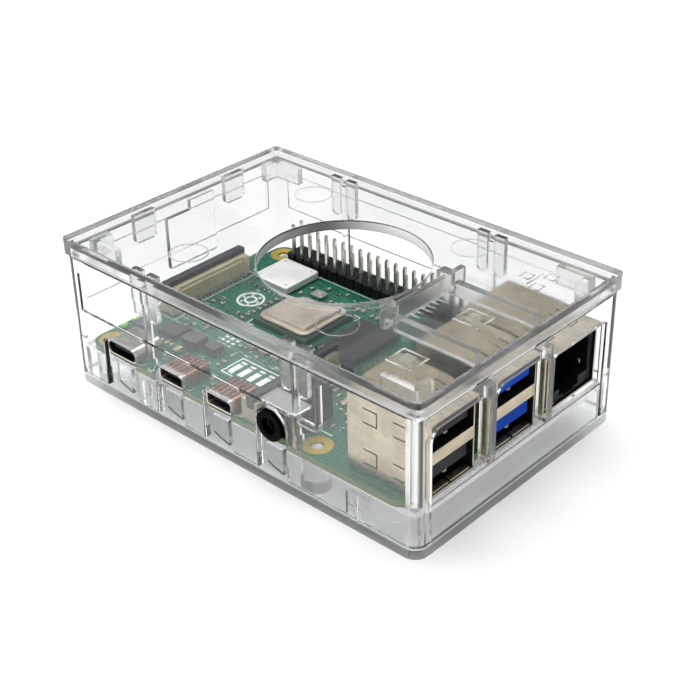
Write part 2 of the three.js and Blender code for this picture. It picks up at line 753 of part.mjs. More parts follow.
function ethernetInsert() {
  const gap = ethernet.wall + insertClearance;
  const half = ethernet.width / 2 - gap;
  const body = block(-ethernet.depth + gap, -plug.setback, -half, half, gap, ethernet.height - gap);
  const ways = [
    block(-plug.depth, cut, -plug.half, plug.half, plug.bottom, plug.top),
    block(-plugLatch.depth, cut, -plugLatch.half, plugLatch.half, plugLatch.bottom, plug.bottom + lap),
    block(
      -plugLatch.depth, cut,
      -plugLatch.keyHalf, plugLatch.keyHalf,
      plugLatch.keyBottom, plugLatch.bottom + lap,
    ),
  ];
  return without(body, ways);
}

function ethernetContacts() {
  const carrier = block(
    -contactCarrier.back, -contactCarrier.front,
    -contactCarrier.half, contactCarrier.half,
    contactCarrier.bottom, contactCarrier.top,
  );
  const half = contact.thickness / 2;
  const wires = Array.from({ length: contact.count }, (_, i) => {
    const y = (i - (contact.count - 1) / 2) * contact.pitch;
    return block(
      -contact.start, -contact.end, y - half, y + half, contact.bottom, contact.bottom + contact.thickness,
    );
  });
  return joined([carrier, ...wires]);
}

// A block of header pins: first pin's middle at x = y = 0, base of the plastic at z = 0.
function pinHeader(columns) {
  const { pitch, height, pin, pinTop } = header;
  const edge = pitch / 2;
  const body = block(-edge, (columns - 1) * pitch + edge, -edge, pitch + edge, 0, height);
  const pins = [];
  for (let column = 0; column < columns; column += 1) {
    for (let row = 0; row < 2; row += 1) {
      const x = column * pitch;
      const y = row * pitch;
      pins.push(block(
        x - pin / 2, x + pin / 2, y - pin / 2, y + pin / 2, height - root, pinTop - solderGap,
      ));
    }
  }
  return joined([body, ...pins]);
}

function cardSocket() {
  const half = card.width / 2;
  const outer = block(0, card.length, -half, half, -card.height, 0);
  const bore = block(
    -cut, card.length - card.wall, -half + card.wall, half - card.wall, -card.height + card.wall, -card.wall,
  );
  return outer.subtract(bore);
}

// ---------------------------------------------------------------- assembly: case
place('case_base', caseBase(), finish.clearPlastic());
place('case_frame', caseFrame(), finish.clearPlastic());
place('case_lid', caseLid(), finish.clearPlastic());

// ---------------------------------------------------------------- assembly: board
place('circuit_board', circuitBoard(), finish.greenBoard());

const processor = { place: [29.25, 32.5], side: 15, height: 0.9, spreaderSide: 13.8, spreaderHeight: 1.25 };
place(
  'processor_package', chip(processor.side, processor.side, processor.height), finish.chipBase(),
  [...processor.place, solderGap],
);
const spreaderStep = 0.3;
place(
  'processor_heat_spreader',
  chip(processor.spreaderSide, processor.spreaderSide, processor.spreaderHeight, spreaderStep),
  finish.nickel(), [...processor.place, solderGap + processor.height + sliver],
);
const chips = [
  { name: 'memory_chip', size: [10.4, 14.6, 1], at: [44.6, 32.4], material: finish.chipBlack },
  { name: 'wireless_can', size: [10.4, 10.4, 1.6], at: [12.6, 44.2], material: finish.tin },
  { name: 'usb_controller_chip', size: [8, 8, 0.9], at: [58.4, 35.4], material: finish.chipBlack },
  { name: 'ethernet_phy_chip', size: [7, 7, 0.9], at: [53.6, 44.8], material: finish.chipBlack },
  { name: 'power_chip', size: [5, 5, 0.9], at: [11.2, 13.4], material: finish.chipBlack },
  { name: 'power_inductor_1', size: [4.2, 4.2, 2], at: [18.2, 12.6], material: finish.ferrite },
  { name: 'power_inductor_2', size: [3.2, 3.2, 1.8], at: [23.4, 13.2], material: finish.ferrite },
  { name: 'power_inductor_3', size: [3.2, 3.2, 1.8], at: [5.2, 9.8], material: finish.ferrite },
  { name: 'crystal_can', size: [3.2, 2.5, 0.8], at: [23.4, 43.4], material: finish.tin },
  { name: 'status_led_power', size: [0.9, 1.6, 0.6], at: [1.4, 8], material: finish.ledResin },
  { name: 'status_led_activity', size: [0.9, 1.6, 0.6], at: [1.4, 11.4], material: finish.ledResin },
];
chips.forEach(({ name, size, at, material }) => {
  place(name, chip(...size), material(), [...at, solderGap]);
});

// ---------------------------------------------------------------- assembly: video edge
const usbCAt = [usbC.place, -usbC.reach, solderGap];
const usbCRadius = usbC.height / 2 - 0.01;   // a hair less than half, so that the side stays a face
place('usb_c_shell', portShell(usbC.width, usbC.height, usbC.depth, usbCRadius), finish.nickel(), usbCAt);
place(
  'usb_c_tongue',
  portTongue(usbC.width, usbC.height, usbC.depth, usbCRadius, usbCTongue),
  finish.blackPlastic(), usbCAt,
);
microVideo.places.forEach((x, index) => {
  const at = [x, -microVideo.reach, solderGap];
  const { width, height, depth, radius } = microVideo;
  place(`micro_video_shell_${index + 1}`, portShell(width, height, depth, radius), finish.nickel(), at);
  place(
    `micro_video_tongue_${index + 1}`,
    portTongue(width, height, depth, radius, microVideoTongue), finish.blackPlastic(), at,
  );
});
place('audio_jack', audioJack(), finish.blackPlastic(), [jack.place, jack.bodySetback, solderGap]);

// ---------------------------------------------------------------- assembly: ribbon connectors
[['camera', cameraPlace, Math.PI], ['display', displayPlace, 0]].forEach(([use, at, turn]) => {
  place(`${use}_connector`, ribbonBody(), finish.beigePlastic(), [...at, solderGap], turn);
  place(`${use}_connector_latch`, ribbonLatch(), finish.slatePlastic(), [...at, solderGap], turn);
});

// ---------------------------------------------------------------- assembly: USB end
['usb2', 'usb3'].forEach((name, index) => {
  const at = [usbFront, usbPlaces[index], solderGap];
  const plastic = index ? finish.bluePlastic() : finish.blackPlastic();
  place(`${name}_shell`, usbShell(), finish.tin(), at);
  place(`${name}_insulator`, usbInsulator(), plastic, at);
});
const ethernetAt = [boardLength + ethernet.reach, ethernet.place, solderGap];
place('ethernet_shell', ethernetShell(), finish.tin(), ethernetAt);
place('ethernet_insert', ethernetInsert(), finish.blackPlastic(), ethernetAt);
place('ethernet_contacts', ethernetContacts(), finish.nickel(), ethernetAt);

// ---------------------------------------------------------------- assembly: headers and card socket
place(
  'gpio_header', pinHeader(header.columns), finish.blackPlastic(),
  [header.firstPin, header.row, solderGap],
);
place(
  'power_pin_header', pinHeader(powerHeader.columns), finish.blackPlastic(),
  [...powerHeader.place, solderGap],
);
place(
  'memory_card_socket', cardSocket(), finish.tin(),
  [card.start, card.place, boardUnderside - solderGap],
);

// ---------------------------------------------------------------- origin: middle of the footprint
assembly.position.set(-(caseX0 + caseX1) / 2, -(lowestY + caseY1) / 2, -groundLevel);

const computer = new THREE.Group();
computer.add(assembly);

export default computer;
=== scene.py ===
# Looks of a single board computer in a clear snap-together case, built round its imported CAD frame.
# Lengths in the calls below are millimetres from the board's own corner, at the level of its top face.
import math
import random

import bmesh
import bpy
from mathutils import Matrix, Vector


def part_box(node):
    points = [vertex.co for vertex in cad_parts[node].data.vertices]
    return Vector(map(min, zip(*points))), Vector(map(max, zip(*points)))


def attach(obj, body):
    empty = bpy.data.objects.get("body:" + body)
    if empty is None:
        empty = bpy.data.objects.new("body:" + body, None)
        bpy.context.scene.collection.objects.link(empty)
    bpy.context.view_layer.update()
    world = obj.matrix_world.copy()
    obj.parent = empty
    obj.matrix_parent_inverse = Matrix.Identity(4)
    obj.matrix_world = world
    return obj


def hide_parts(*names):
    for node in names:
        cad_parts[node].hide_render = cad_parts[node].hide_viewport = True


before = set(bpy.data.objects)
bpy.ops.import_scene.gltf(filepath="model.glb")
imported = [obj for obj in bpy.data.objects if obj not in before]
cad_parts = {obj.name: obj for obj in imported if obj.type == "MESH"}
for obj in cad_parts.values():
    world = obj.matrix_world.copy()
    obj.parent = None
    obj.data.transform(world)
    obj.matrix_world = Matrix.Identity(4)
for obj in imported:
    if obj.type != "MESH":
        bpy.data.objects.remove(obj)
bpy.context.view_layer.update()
bpy.ops.object.select_all(action="DESELECT")

MM = 0.001
BASE = "base_and_board"
SHARP_ANGLE = math.radians(35)
SMOOTH_ANGLE = math.radians(40)
board_low, board_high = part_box("circuit_board")
DATUM = Vector((board_low.x, board_low.y, board_high.z))
dice = random.Random(41)


# --- places
def spot(x, y, z):
    return DATUM + Vector((x, y, z)) * MM


def limits(node):
    low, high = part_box(node)
    return (low - DATUM) / MM, (high - DATUM) / MM


# --- modelling by hand
def only(piece):
    bpy.ops.object.select_all(action="DESELECT")
    piece.select_set(True)
    bpy.context.view_layer.objects.active = piece


def settle(piece, name):
    piece.name = name
    piece.data.name = name
    only(piece)
    bpy.ops.object.transform_apply(location=True, rotation=True, scale=True)
    return piece


def block(name, x, y, z):
    """A block between two places on each axis."""
    middle = [(pair[0] + pair[1]) / 2 for pair in (x, y, z)]
    bpy.ops.mesh.primitive_cube_add(size=1, location=spot(*middle))
    piece = bpy.context.active_object
    piece.scale = [(pair[1] - pair[0]) * MM for pair in (x, y, z)]
    return settle(piece, name)


def filled(name, low, high):
    """A block that fills the space between two corners."""
    return block(name, (low.x, high.x), (low.y, high.y), (low.z, high.z))


def rod(name, centre, radius, height, sides=32, turn=(0, 0, 0)):
    bpy.ops.mesh.primitive_cylinder_add(
        vertices=sides, radius=radius * MM, depth=height * MM, location=spot(*centre), rotation=turn
    )
    return settle(bpy.context.active_object, name)


def enter(piece, kind=None):
    """Enters edit mode with nothing of one kind selected or, for no kind, with everything selected."""
    only(piece)
    bpy.ops.object.mode_set(mode="EDIT")
    if kind:
        bpy.ops.mesh.select_mode(type=kind)
    bpy.ops.mesh.select_all(action="DESELECT" if kind else "SELECT")


def leave():
    bpy.ops.object.mode_set(mode="OBJECT")


def pick_faces(piece, test):
    """Enters edit mode with the faces selected whose middle, in millimetres, and normal pass the test."""
    enter(piece, "FACE")
    mesh = bmesh.from_edit_mesh(piece.data)
    for face in mesh.faces:
        middle = (face.calc_center_median() - DATUM) / MM
        face.select_set(bool(test(middle, face.normal)))
    bmesh.update_edit_mesh(piece.data)


def faces_up(_, normal):
    return normal.z > 0.9


def faces_front(_, normal):
    return normal.x > 0.9


def push(x=0, y=0, z=0):
    bpy.ops.mesh.extrude_region_move(TRANSFORM_OT_translate={"value": (x * MM, y * MM, z * MM)})


def inset(width, depth=0, individual=False):
    bpy.ops.mesh.inset(thickness=width * MM, depth=depth * MM, use_individual=individual)


def cut_plane(piece, place, normal):
    enter(piece)
    bpy.ops.mesh.bisect(plane_co=spot(*place), plane_no=normal)
    leave()


def apply_modifier(piece, kind, **values):
    only(piece)
    modifier = piece.modifiers.new(kind.title(), kind)
    for key, value in values.items():
        setattr(modifier, key, value)
    bpy.ops.object.modifier_apply(modifier=modifier.name)
    return piece


def shade(piece, angle=SMOOTH_ANGLE):
    only(piece)
    bpy.ops.object.shade_smooth_by_angle(angle=angle)
    return apply_modifier(piece, "WEIGHTED_NORMAL", weight=100, keep_sharp=True)


def soften(piece, width, segments=2, angle=SHARP_ANGLE):
    apply_modifier(
        piece, "BEVEL", width=width * MM, segments=segments, limit_method="ANGLE", angle_limit=angle
    )
    return shade(piece)


def carve(piece, tool):
    """Takes the tool's shape out of the piece and throws the tool away."""
    apply_modifier(piece, "BOOLEAN", operation="DIFFERENCE", object=tool, solver="EXACT")
    bpy.data.objects.remove(tool)
    return piece


def weld(pieces, name):
    bpy.ops.object.select_all(action="DESELECT")
    for piece in pieces:
        piece.select_set(True)
    bpy.context.view_layer.objects.active = pieces[0]
    if len(pieces) > 1:
        bpy.ops.object.join()
    pieces[0].name = name
    pieces[0].data.name = name
    return pieces[0]


def clone(piece):
    """A copy of a piece with its own mesh."""
    copy = piece.copy()
    copy.data = piece.data.copy()
    bpy.context.scene.collection.objects.link(copy)
    return copy


def repeat(piece, steps, name):
    """Copies a finished piece by each step in millimetres and joins the copies."""
    made = []
    for step in steps:
        made.append(clone(piece))
        made[-1].data.transform(Matrix.Translation(Vector(step) * MM))
    bpy.data.objects.remove(piece)
    return weld(made, name)


def weigh_edges(piece, shortest, others, others_shortest, axes, reach=0.06):
    """Full rounding for the sharp edges that lie on an outer side, a share of it for the other ones."""
    enter(piece, "EDGE")
    bpy.ops.mesh.edges_select_sharp(sharpness=SHARP_ANGLE)
    leave()
    mesh = piece.data
    places = [vertex.co / MM for vertex in mesh.vertices]
    sides = [(min(at[axis] for at in places), max(at[axis] for at in places)) for axis in range(3)]
    weights = mesh.attributes.new("bevel_weight_edge", "FLOAT", "EDGE")
    for edge in mesh.edges:
        if not edge.select:
            continue
        first, second = (places[index] for index in edge.vertices)
        length = (first - second).length
        outer = any(
            abs(first[axis] - side) < reach and abs(second[axis] - side) < reach
            for axis in axes for side in sides[axis]
        )
        if outer and length > shortest:
            weights.data[edge.index].value = 1.0
        elif length > others_shortest:
            weights.data[edge.index].value = others


def steady_flats(piece, least_area=0.4, most_turn=6.5):
    """Gives a flat face its own normal at each corner that leans away from it.

    The area is in square millimetres and the turn in degrees.
    """
    mesh = piece.data
    normals = [corner.vector.copy() for corner in mesh.corner_normals]
    level = math.cos(math.radians(most_turn))
    for face in mesh.polygons:
        if face.area < least_area * MM * MM:
            continue
        for index in face.loop_indices:
            if normals[index].dot(face.normal) < level:
                normals[index] = face.normal.copy()
    mesh.normals_split_custom_set(normals)
    return piece


def refined_copy(node, name, width):
    """A CAD solid's own shape with its loose triangles merged and, given a width, its edges rounded."""
    piece = clone(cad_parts[node])
    for key in list(piece.keys()):
        del piece[key]
    piece.parent = None
    piece.name = name
    piece.data.name = name
    enter(piece)
    bpy.ops.mesh.remove_doubles(threshold=0.002 * MM)
    bpy.ops.mesh.dissolve_limited(angle_limit=math.radians(0.3))
    leave()
    return soften(piece, width) if width else piece


def clear_shell(node, name, width, shortest, others=0.0, others_shortest=0.3, axes=(0, 1, 2)):
    """A case moulding with its outer edges rounded, fit for light to pass through."""
    piece = refined_copy(node, name, 0)
    weigh_edges(piece, shortest, others, others_shortest, axes)
    apply_modifier(
        piece, "BEVEL", width=width * MM, segments=3, limit_method="WEIGHT", use_clamp_overlap=False,
        loop_slide=False,
    )
    return steady_flats(shade(piece))


def paint_shade_inside(piece, material, test):
    """Gives the faces whose middle, in millimetres, passes the test a second material; here it is painted shade
    on the inside faces of socket shells.
    """
    piece.data.materials.append(material)
    for face in piece.data.polygons:
        if test((face.center - DATUM) / MM):
            face.material_index = len(piece.data.materials) - 1


def finish_piece(piece, material, slot, *replaced, body=BASE):
    piece.data.materials.clear()
    piece.data.materials.append(material)
    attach(piece, body)
    if replaced:
        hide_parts(*replaced)
    return piece


# --- shader groups
def add(tree, kind, **settings):
    node = tree.nodes.new("ShaderNode" + kind)
    for key, value in settings.items():
        setattr(node, key, value)
    return node


def wire(tree, *runs):
    """Links nodes by runs of source, its output, target and its input."""
    for source, out, target, into in runs:
        tree.links.new(source.outputs[out], target.inputs[into])


def new_group(name, inputs, outputs):
    """A group whose inputs are a place and what is listed as title, kind and starting value."""
    group = bpy.data.node_groups.new(name, "ShaderNodeTree")
    for title, kind, value in (("Coordinates", "Vector", None), *inputs):
        socket = group.interface.new_socket(name=title, in_out="INPUT", socket_type="NodeSocket" + kind)
        if value is not None:
            socket.default_value = value
    for title, kind in outputs:
        group.interface.new_socket(name=title, in_out="OUTPUT", socket_type="NodeSocket" + kind)
    return group, group.nodes.new("NodeGroupInput"), group.nodes.new("NodeGroupOutput")


def noise_node(tree, detail=3.0, rough=0.5):
    node = add(tree, "TexNoise")
    node.inputs["Detail"].default_value = detail
    node.inputs["Roughness"].default_value = rough
    return node


def range_node(tree, low, high, new_low=0.0, new_high=1.0):
    node = add(tree, "MapRange")
    for title, value in zip(("From Min", "From Max", "To Min", "To Max"), (low, high, new_low, new_high)):
        node.inputs[title].default_value = value
    return node


def bump_node(tree, distance, strength=1.0):
    node = add(tree, "Bump")
    node.inputs["Distance"].default_value = distance * MM
    node.inputs["Strength"].default_value = strength
    return node


def make_grain():
    """Fine moulding or rolling grain, with a normal that follows it."""
    group, given, result = new_group(
        "surface_grain",
        [("Scale", "Float", 2000.0), ("Strength", "Float", 0.3), ("Distance", "Float", 0.00002)],
        [("Grain", "Float"), ("Normal", "Vector")],
    )
    noise = noise_node(group, 4.0, 0.6)
    bump = bump_node(group, 0.02)
    wire(
        group, (given, "Coordinates", noise, "Vector"), (given, "Scale", noise, "Scale"),
        (noise, "Fac", bump, "Height"), (given, "Strength", bump, "Strength"),
        (given, "Distance", bump, "Distance"), (noise, "Fac", result, "Grain"),
        (bump, "Normal", result, "Normal"),
    )
    return group


def make_patches():
    """Slow patches of tone, as handling, dust and uneven plating leave them."""
    group, given, result = new_group(
        "tone_patches", [("Scale", "Float", 150.0), ("Contrast", "Float", 1.0)], [("Patches", "Float")]
    )
    noise = noise_node(group, 5.0, 0.62)
    spread = range_node(group, 0.32, 0.68)
    power = add(group, "Math", operation="POWER")
    wire(
        group, (given, "Coordinates", noise, "Vector"), (given, "Scale", noise, "Scale"),
        (noise, "Fac", spread, "Value"), (spread, "Result", power, 0), (given, "Contrast", power, 1),
        (power, "Value", result, "Patches"),
    )
    return group


def make_brushing():
    """Long fine lines along one axis, as on rolled or brushed sheet metal."""
    group, given, result = new_group(
        "rolled_lines", [("Stretch", "Vector", (1.0, 14.0, 14.0)), ("Scale", "Float", 400.0)],
        [("Lines", "Float"), ("Normal", "Vector")],
    )
    scaled = add(group, "VectorMath", operation="MULTIPLY")
    noise = noise_node(group, 3.0, 0.55)
    bump = bump_node(group, 0.008, 0.5)
    wire(
        group, (given, "Coordinates", scaled, 0), (given, "Stretch", scaled, 1),
        (scaled, "Vector", noise, "Vector"), (given, "Scale", noise, "Scale"),
        (noise, "Fac", bump, "Height"), (noise, "Fac", result, "Lines"), (bump, "Normal", result, "Normal"),
    )
    return group


def make_zone():
    """One inside a box and nothing outside it, with a soft edge."""
    group, given, result = new_group(
        "zone_in_box", [("Low", "Vector", None), ("High", "Vector", None), ("Soft", "Float", 0.0001)],
        [("Mask", "Float")],
    )
    below, above = (add(group, "VectorMath", operation="SUBTRACT") for _ in range(2))
    most = add(group, "VectorMath", operation="MAXIMUM")
    axes = add(group, "SeparateXYZ")
    first, second = (add(group, "Math", operation="MAXIMUM") for _ in range(2))
    edge = range_node(group, 0.0, 0.0001, 1.0, 0.0)
    wire(
        group, (given, "Low", below, 0), (given, "Coordinates", below, 1), (given, "Coordinates", above, 0),
        (given, "High", above, 1), (below, "Vector", most, 0), (above, "Vector", most, 1),
        (most, "Vector", axes, 0), (axes, "X", first, 0), (axes, "Y", first, 1), (first, "Value", second, 0),
        (axes, "Z", second, 1), (second, "Value", edge, "Value"), (given, "Soft", edge, "From Max"),
        (edge, "Result", result, "Mask"),
    )
    return group


GRAIN = make_grain()
ZONE = make_zone()
PATCHES = make_patches()
BRUSHING = make_brushing()


# --- materials
class Paint:
    """One material's node tree, with the few steps that most finishes share."""

    def __init__(self, name):
        self.material = bpy.data.materials.new(name)
        self.material.use_nodes = True
        self.tree = self.material.node_tree
        self.shader = self.tree.nodes["Principled BSDF"]
        self.place = self.tree.nodes.new("ShaderNodeTexCoord").outputs["Object"]

    def link(self, source, target):
        self.tree.links.new(source, target)

    def feed(self, **sources):
        """Links sockets to the shader's own inputs."""
        for title, source in sources.items():
            self.link(source, self.shader.inputs[title.replace("_", " ")])

    def set(self, **values):
        for title, value in values.items():
            self.shader.inputs[title.replace("_", " ")].default_value = value

    def texture(self, kind, values, **settings):
        node = add(self.tree, kind, **settings)
        self.link(self.place, node.inputs["Vector"])
        for title, value in values.items():
            node.inputs[title].default_value = value
        return node

    def put(self, group, **values):
        node = add(self.tree, "Group", node_tree=group)
        self.link(self.place, node.inputs["Coordinates"])
        for title, value in values.items():
            node.inputs[title].default_value = value
        return node

    def fill(self, socket, value, as_colour=False):
        if isinstance(value, bpy.types.NodeSocket):
            self.link(value, socket)
        else:
            socket.default_value = (*value, 1) if as_colour else value

    def blend(self, mask, first, second):
        """Colours mixed by a mask. Each is a colour or a socket."""
        node = add(self.tree, "Mix", data_type="RGBA")
        self.link(mask, node.inputs[0])
        self.fill(node.inputs[6], first, True)
        self.fill(node.inputs[7], second, True)
        return node.outputs[2]

    def spread(self, source, low, high, new_low=0.0, new_high=1.0):
        node = range_node(self.tree, low, high, new_low, new_high)
        self.link(source, node.inputs["Value"])
        return node.outputs["Result"]

    def maths(self, kind, first, second=0.0):
        node = add(self.tree, "Math", operation=kind)
        self.fill(node.inputs[0], first)
        self.fill(node.inputs[1], second)
        return node.outputs[0]


def plain_finish(name, dark, light, roughness, grain=(2500.0, 0.35, 0.012), **values):
    paint = Paint(name)
    tone = paint.put(PATCHES, Scale=140.0).outputs["Patches"]
    rub = paint.put(GRAIN, Scale=grain[0], Strength=grain[1], Distance=grain[2] * MM)
    mixed = paint.maths("MULTIPLY", tone, rub.outputs["Grain"])
    worn = paint.maths("ADD", tone, rub.outputs["Grain"])
    paint.feed(
        Base_Color=paint.blend(paint.spread(mixed, 0.0, 0.6), dark, light),
        Roughness=paint.spread(worn, 0.3, 1.5, *roughness), Normal=rub.outputs["Normal"],
    )
    paint.set(**values)
    return paint.material


def metal_finish(name, dark, light, roughness, stretch=(1.0, 14.0, 14.0), scale=400.0):
    paint = Paint(name)
    tone = paint.put(PATCHES, Scale=220.0)
    lines = paint.put(BRUSHING, Stretch=stretch, Scale=scale)
    mixed = paint.maths("MULTIPLY", tone.outputs["Patches"], lines.outputs["Lines"])
    paint.feed(
        Base_Color=paint.blend(paint.spread(mixed, 0.0, 0.6), dark, light),
        Roughness=paint.spread(lines.outputs["Lines"], 0.3, 0.7, *roughness),
        Normal=lines.outputs["Normal"],
    )
    paint.set(Metallic=1.0)
    return paint.material


def clear_finish(name, zones):
    """Clear moulded plastic. Each zone is a box in millimetres, how soft its edge is, how rough the plastic
    is there, and whether it is rough outside the box instead."""
    paint = Paint(name)
    tone = paint.put(PATCHES, Scale=60.0).outputs["Patches"]
    rub = paint.put(GRAIN, Scale=70.0, Strength=0.2, Distance=0.00005)
    rough = paint.spread(tone, 0.0, 1.0, 0.0, 0.03)
    for box, soft, frost, outside in zones:
        low, high = zip(*box)
        mask = paint.put(ZONE, Low=spot(*low), High=spot(*high), Soft=soft * MM).outputs["Mask"]
        if outside:
            mask = paint.maths("SUBTRACT", 1.0, mask)
        rough = paint.maths("MAXIMUM", rough, paint.maths("MULTIPLY", mask, frost))
    paint.feed(
        Base_Color=paint.blend(tone, CLEAR_TINT, tuple(min(1.0, t + 0.02) for t in CLEAR_TINT)),
        Roughness=rough, Normal=rub.outputs["Normal"],
    )
    paint.set(Transmission_Weight=1.0, IOR=1.49)
    clear = add(paint.tree, "BsdfTransparent")
    clear.inputs["Color"].default_value = SHADOW_TINT
    mix = add(paint.tree, "MixShader")
    wire(
        paint.tree, (add(paint.tree, "LightPath"), "Is Shadow Ray", mix, 0), (paint.shader, 0, mix, 1),
        (clear, 0, mix, 2), (mix, 0, paint.tree.nodes["Material Output"], "Surface"),
    )
    return paint.material


def stand_in(solid, margin, z):
    """A box that stands in from a solid's four sides, between two heights."""
    low, high = solid
    return (low.x + margin, high.x - margin), (low.y + margin, high.y - margin), z


CLEAR_TINT = (0.978, 0.984, 0.981)
SHADOW_TINT = (0.93, 0.94, 0.94, 1)
LID, FRAME, TRAY = limits("case_lid"), limits("case_frame"), limits("case_base")
LID_TOP = LID[1].z
PLATE = 2.0
PLATE_UNDER = LID_TOP - PLATE
WALL = 1.4
PORT_PADS = [(0.4, 17.6), (19.9, 35.0), (37.3, 56.2)]
JACK_LEDGE = ((50.4, 59.2), (-0.4, 4.4), (6.8, 7.9))
CLEAR = clear_finish("clear_plastic_frame", [
    (stand_in(FRAME, WALL + 0.08, (FRAME[0].z, FRAME[1].z - 0.2)), 0.1, 0.2, False),
    (JACK_LEDGE, 0.2, 0.8, False),
])
CLEAR_LID = clear_finish("clear_plastic_lid", [
    (stand_in(LID, 0.3, (LID[0].z, PLATE_UNDER - 0.1)), 0.1, 0.24, False),
    (stand_in(LID, 0.2, (LID[0].z - 1, LID_TOP + 1)), 0.1, 0.28, True),
    (stand_in(LID, 0.4, (PLATE_UNDER + 0.2, LID_TOP - 0.2)), 0.1, 0.5, False),
    *((((66.9, 86.8), pad, (PLATE_UNDER - 0.3, PLATE_UNDER + 0.3)), 0.5, 0.11, False) for pad in PORT_PADS),
])
CLEAR_TRAY = clear_finish("clear_plastic_tray", [
    (stand_in(TRAY, 2.6, (TRAY[0].z + 1.8, TRAY[1].z)), 0.2, 0.2, False),
    (stand_in(TRAY, 0.2, (TRAY[0].z + 0.1, TRAY[1].z + 1)), 0.1, 0.46, True),
])
BLACK = plain_finish(
    "black_plastic", (0.003, 0.003, 0.0035), (0.008, 0.008, 0.009), (0.35, 0.5), Specular_IOR_Level=0.25
)
# Painted shade: near-black put on the inside faces of the tin socket shells, where the real metal lies in
# shade.
SHADED_SOCKET_INSIDE = plain_finish(
    "socket_inside_painted_shade", (0.002, 0.002, 0.002), (0.007, 0.006, 0.006), (0.5, 0.7), Specular_IOR_Level=0.2
)
GLOSS_BLACK = plain_finish(
    "glossy_black_plastic", (0.001, 0.001, 0.0012), (0.002, 0.002, 0.0022), (0.2, 0.3),
    Specular_IOR_Level=0.02,
)
BLUE = plain_finish(
    "blue_plastic", (0.001, 0.045, 0.38), (0.002, 0.085, 0.60), (0.35, 0.5), Specular_IOR_Level=0.05
)
BEIGE = plain_finish("beige_plastic", (0.40, 0.36, 0.235), (0.50, 0.455, 0.31), (0.4, 0.6))
SLATE = plain_finish("slate_plastic", (0.018, 0.021, 0.028), (0.04, 0.044, 0.054), (0.35, 0.55))
RESIN = plain_finish(
    "chip_resin", (0.012, 0.013, 0.016), (0.032, 0.034, 0.038), (0.38, 0.6), (5200.0, 0.6, 0.01)
)
FERRITE = plain_finish(
    "coated_ferrite", (0.035, 0.036, 0.04), (0.085, 0.085, 0.09), (0.5, 0.75), (3800.0, 0.7, 0.03)
)
SUBSTRATE = plain_finish("package_laminate", (0.02, 0.06, 0.035), (0.035, 0.1, 0.055), (0.3, 0.5))
CERAMIC = plain_finish("capacitor_ceramic", (0.30, 0.21, 0.12), (0.46, 0.34, 0.21), (0.4, 0.6))
RESISTOR = plain_finish("resistor_film", (0.012, 0.013, 0.016), (0.03, 0.03, 0.034), (0.25, 0.45))
SILK = plain_finish("white_print", (0.72, 0.74, 0.72), (0.86, 0.87, 0.85), (0.45, 0.6))
LAMP = plain_finish("lamp_resin", (0.16, 0.5, 0.1), (0.4, 0.8, 0.25), (0.15, 0.3), Coat_Weight=0.5)
TIN = metal_finish("tin_plate", (0.44, 0.38, 0.275), (0.70, 0.61, 0.465), (0.24, 0.4))
NICKEL = metal_finish("nickel_plate", (0.52, 0.49, 0.44), (0.78, 0.75, 0.69), (0.14, 0.28))
SPREADER = metal_finish(
    "heat_spreader_nickel", (0.50, 0.43, 0.355), (0.68, 0.60, 0.52), (0.4, 0.55), (9.0, 9.0, 9.0), 600.0
)
CAN = plain_finish("can_plate", (0.66, 0.655, 0.64), (0.84, 0.835, 0.82), (0.4, 0.55), Metallic=0.45)
RING = plain_finish("plated_ring", (0.46, 0.33, 0.045), (0.68, 0.50, 0.10), (0.25, 0.42), Metallic=0.6)
PIN = metal_finish("pin_plate", (0.62, 0.60, 0.55), (0.90, 0.88, 0.83), (0.2, 0.34), (14.0, 14.0, 1.0), 500.0)
GOLD = metal_finish("gold_plate", (0.62, 0.42, 0.13), (0.90, 0.68, 0.30), (0.18, 0.32))
SOLDER = metal_finish("solder", (0.50, 0.49, 0.47), (0.80, 0.79, 0.76), (0.16, 0.32), (3.0, 3.0, 3.0), 900.0)


def board_finish():
    """Green solder mask with faint copper runs, plated holes and the darker laminate of its edge."""
    paint = Paint("green_solder_mask")
    tone = paint.put(PATCHES, Scale=90.0)
    rub = paint.put(GRAIN, Scale=3000.0, Strength=0.2, Distance=0.00001)
    black, white = (0, 0, 0, 1), (1, 1, 1, 1)
    runs = paint.texture("TexBrick", {
        "Scale": 130.0, "Mortar Size": 0.035, "Mortar Smooth": 0.1, "Brick Width": 0.9, "Row Height": 0.12,
        "Color1": black, "Color2": black, "Mortar": white,
    }, offset=0.37, squash=2.2, squash_frequency=3).outputs["Color"]
    holes = paint.texture("TexVoronoi", {"Scale": 520.0, "Randomness": 0.85})
    ring = paint.spread(holes.outputs["Distance"], 0.10, 0.13, 1.0, 0.0)
    kept = paint.spread(holes.outputs["Color"], 0.62, 0.64)
    via = paint.maths("MULTIPLY", ring, kept)
    poured = paint.spread(tone.outputs["Patches"], 0.45, 0.55)
    mask = paint.blend(poured, (0.002, 0.060, 0.030), (0.005, 0.088, 0.048))
    traced = paint.blend(paint.maths("MULTIPLY", runs, 0.75), mask, (0.022, 0.150, 0.092))
    dotted = paint.blend(paint.maths("MULTIPLY", via, 0.8), traced, (0.08, 0.22, 0.14))
    axes = add(paint.tree, "SeparateXYZ")
    relief = bump_node(paint.tree, 0.03, 0.5)
    wire(
        paint.tree, (add(paint.tree, "NewGeometry"), "True Normal", axes, 0),
        (rub, "Normal", relief, "Normal"),
    )
    paint.link(paint.maths("ADD", runs, via), relief.inputs["Height"])
    flat = paint.spread(paint.maths("ABSOLUTE", axes.outputs["Z"]), 0.4, 0.6)
    paint.feed(
        Base_Color=paint.blend(flat, (0.13, 0.20, 0.06), dotted),
        Roughness=paint.spread(rub.outputs["Grain"], 0.3, 0.7, 0.22, 0.36), Normal=relief.outputs["Normal"],
    )
    paint.set(Coat_Weight=0.1, Specular_IOR_Level=0.3)
    return paint.material


BOARD = board_finish()


def repaint(node, material):
    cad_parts[node].data.materials.clear()
    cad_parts[node].data.materials.append(material)


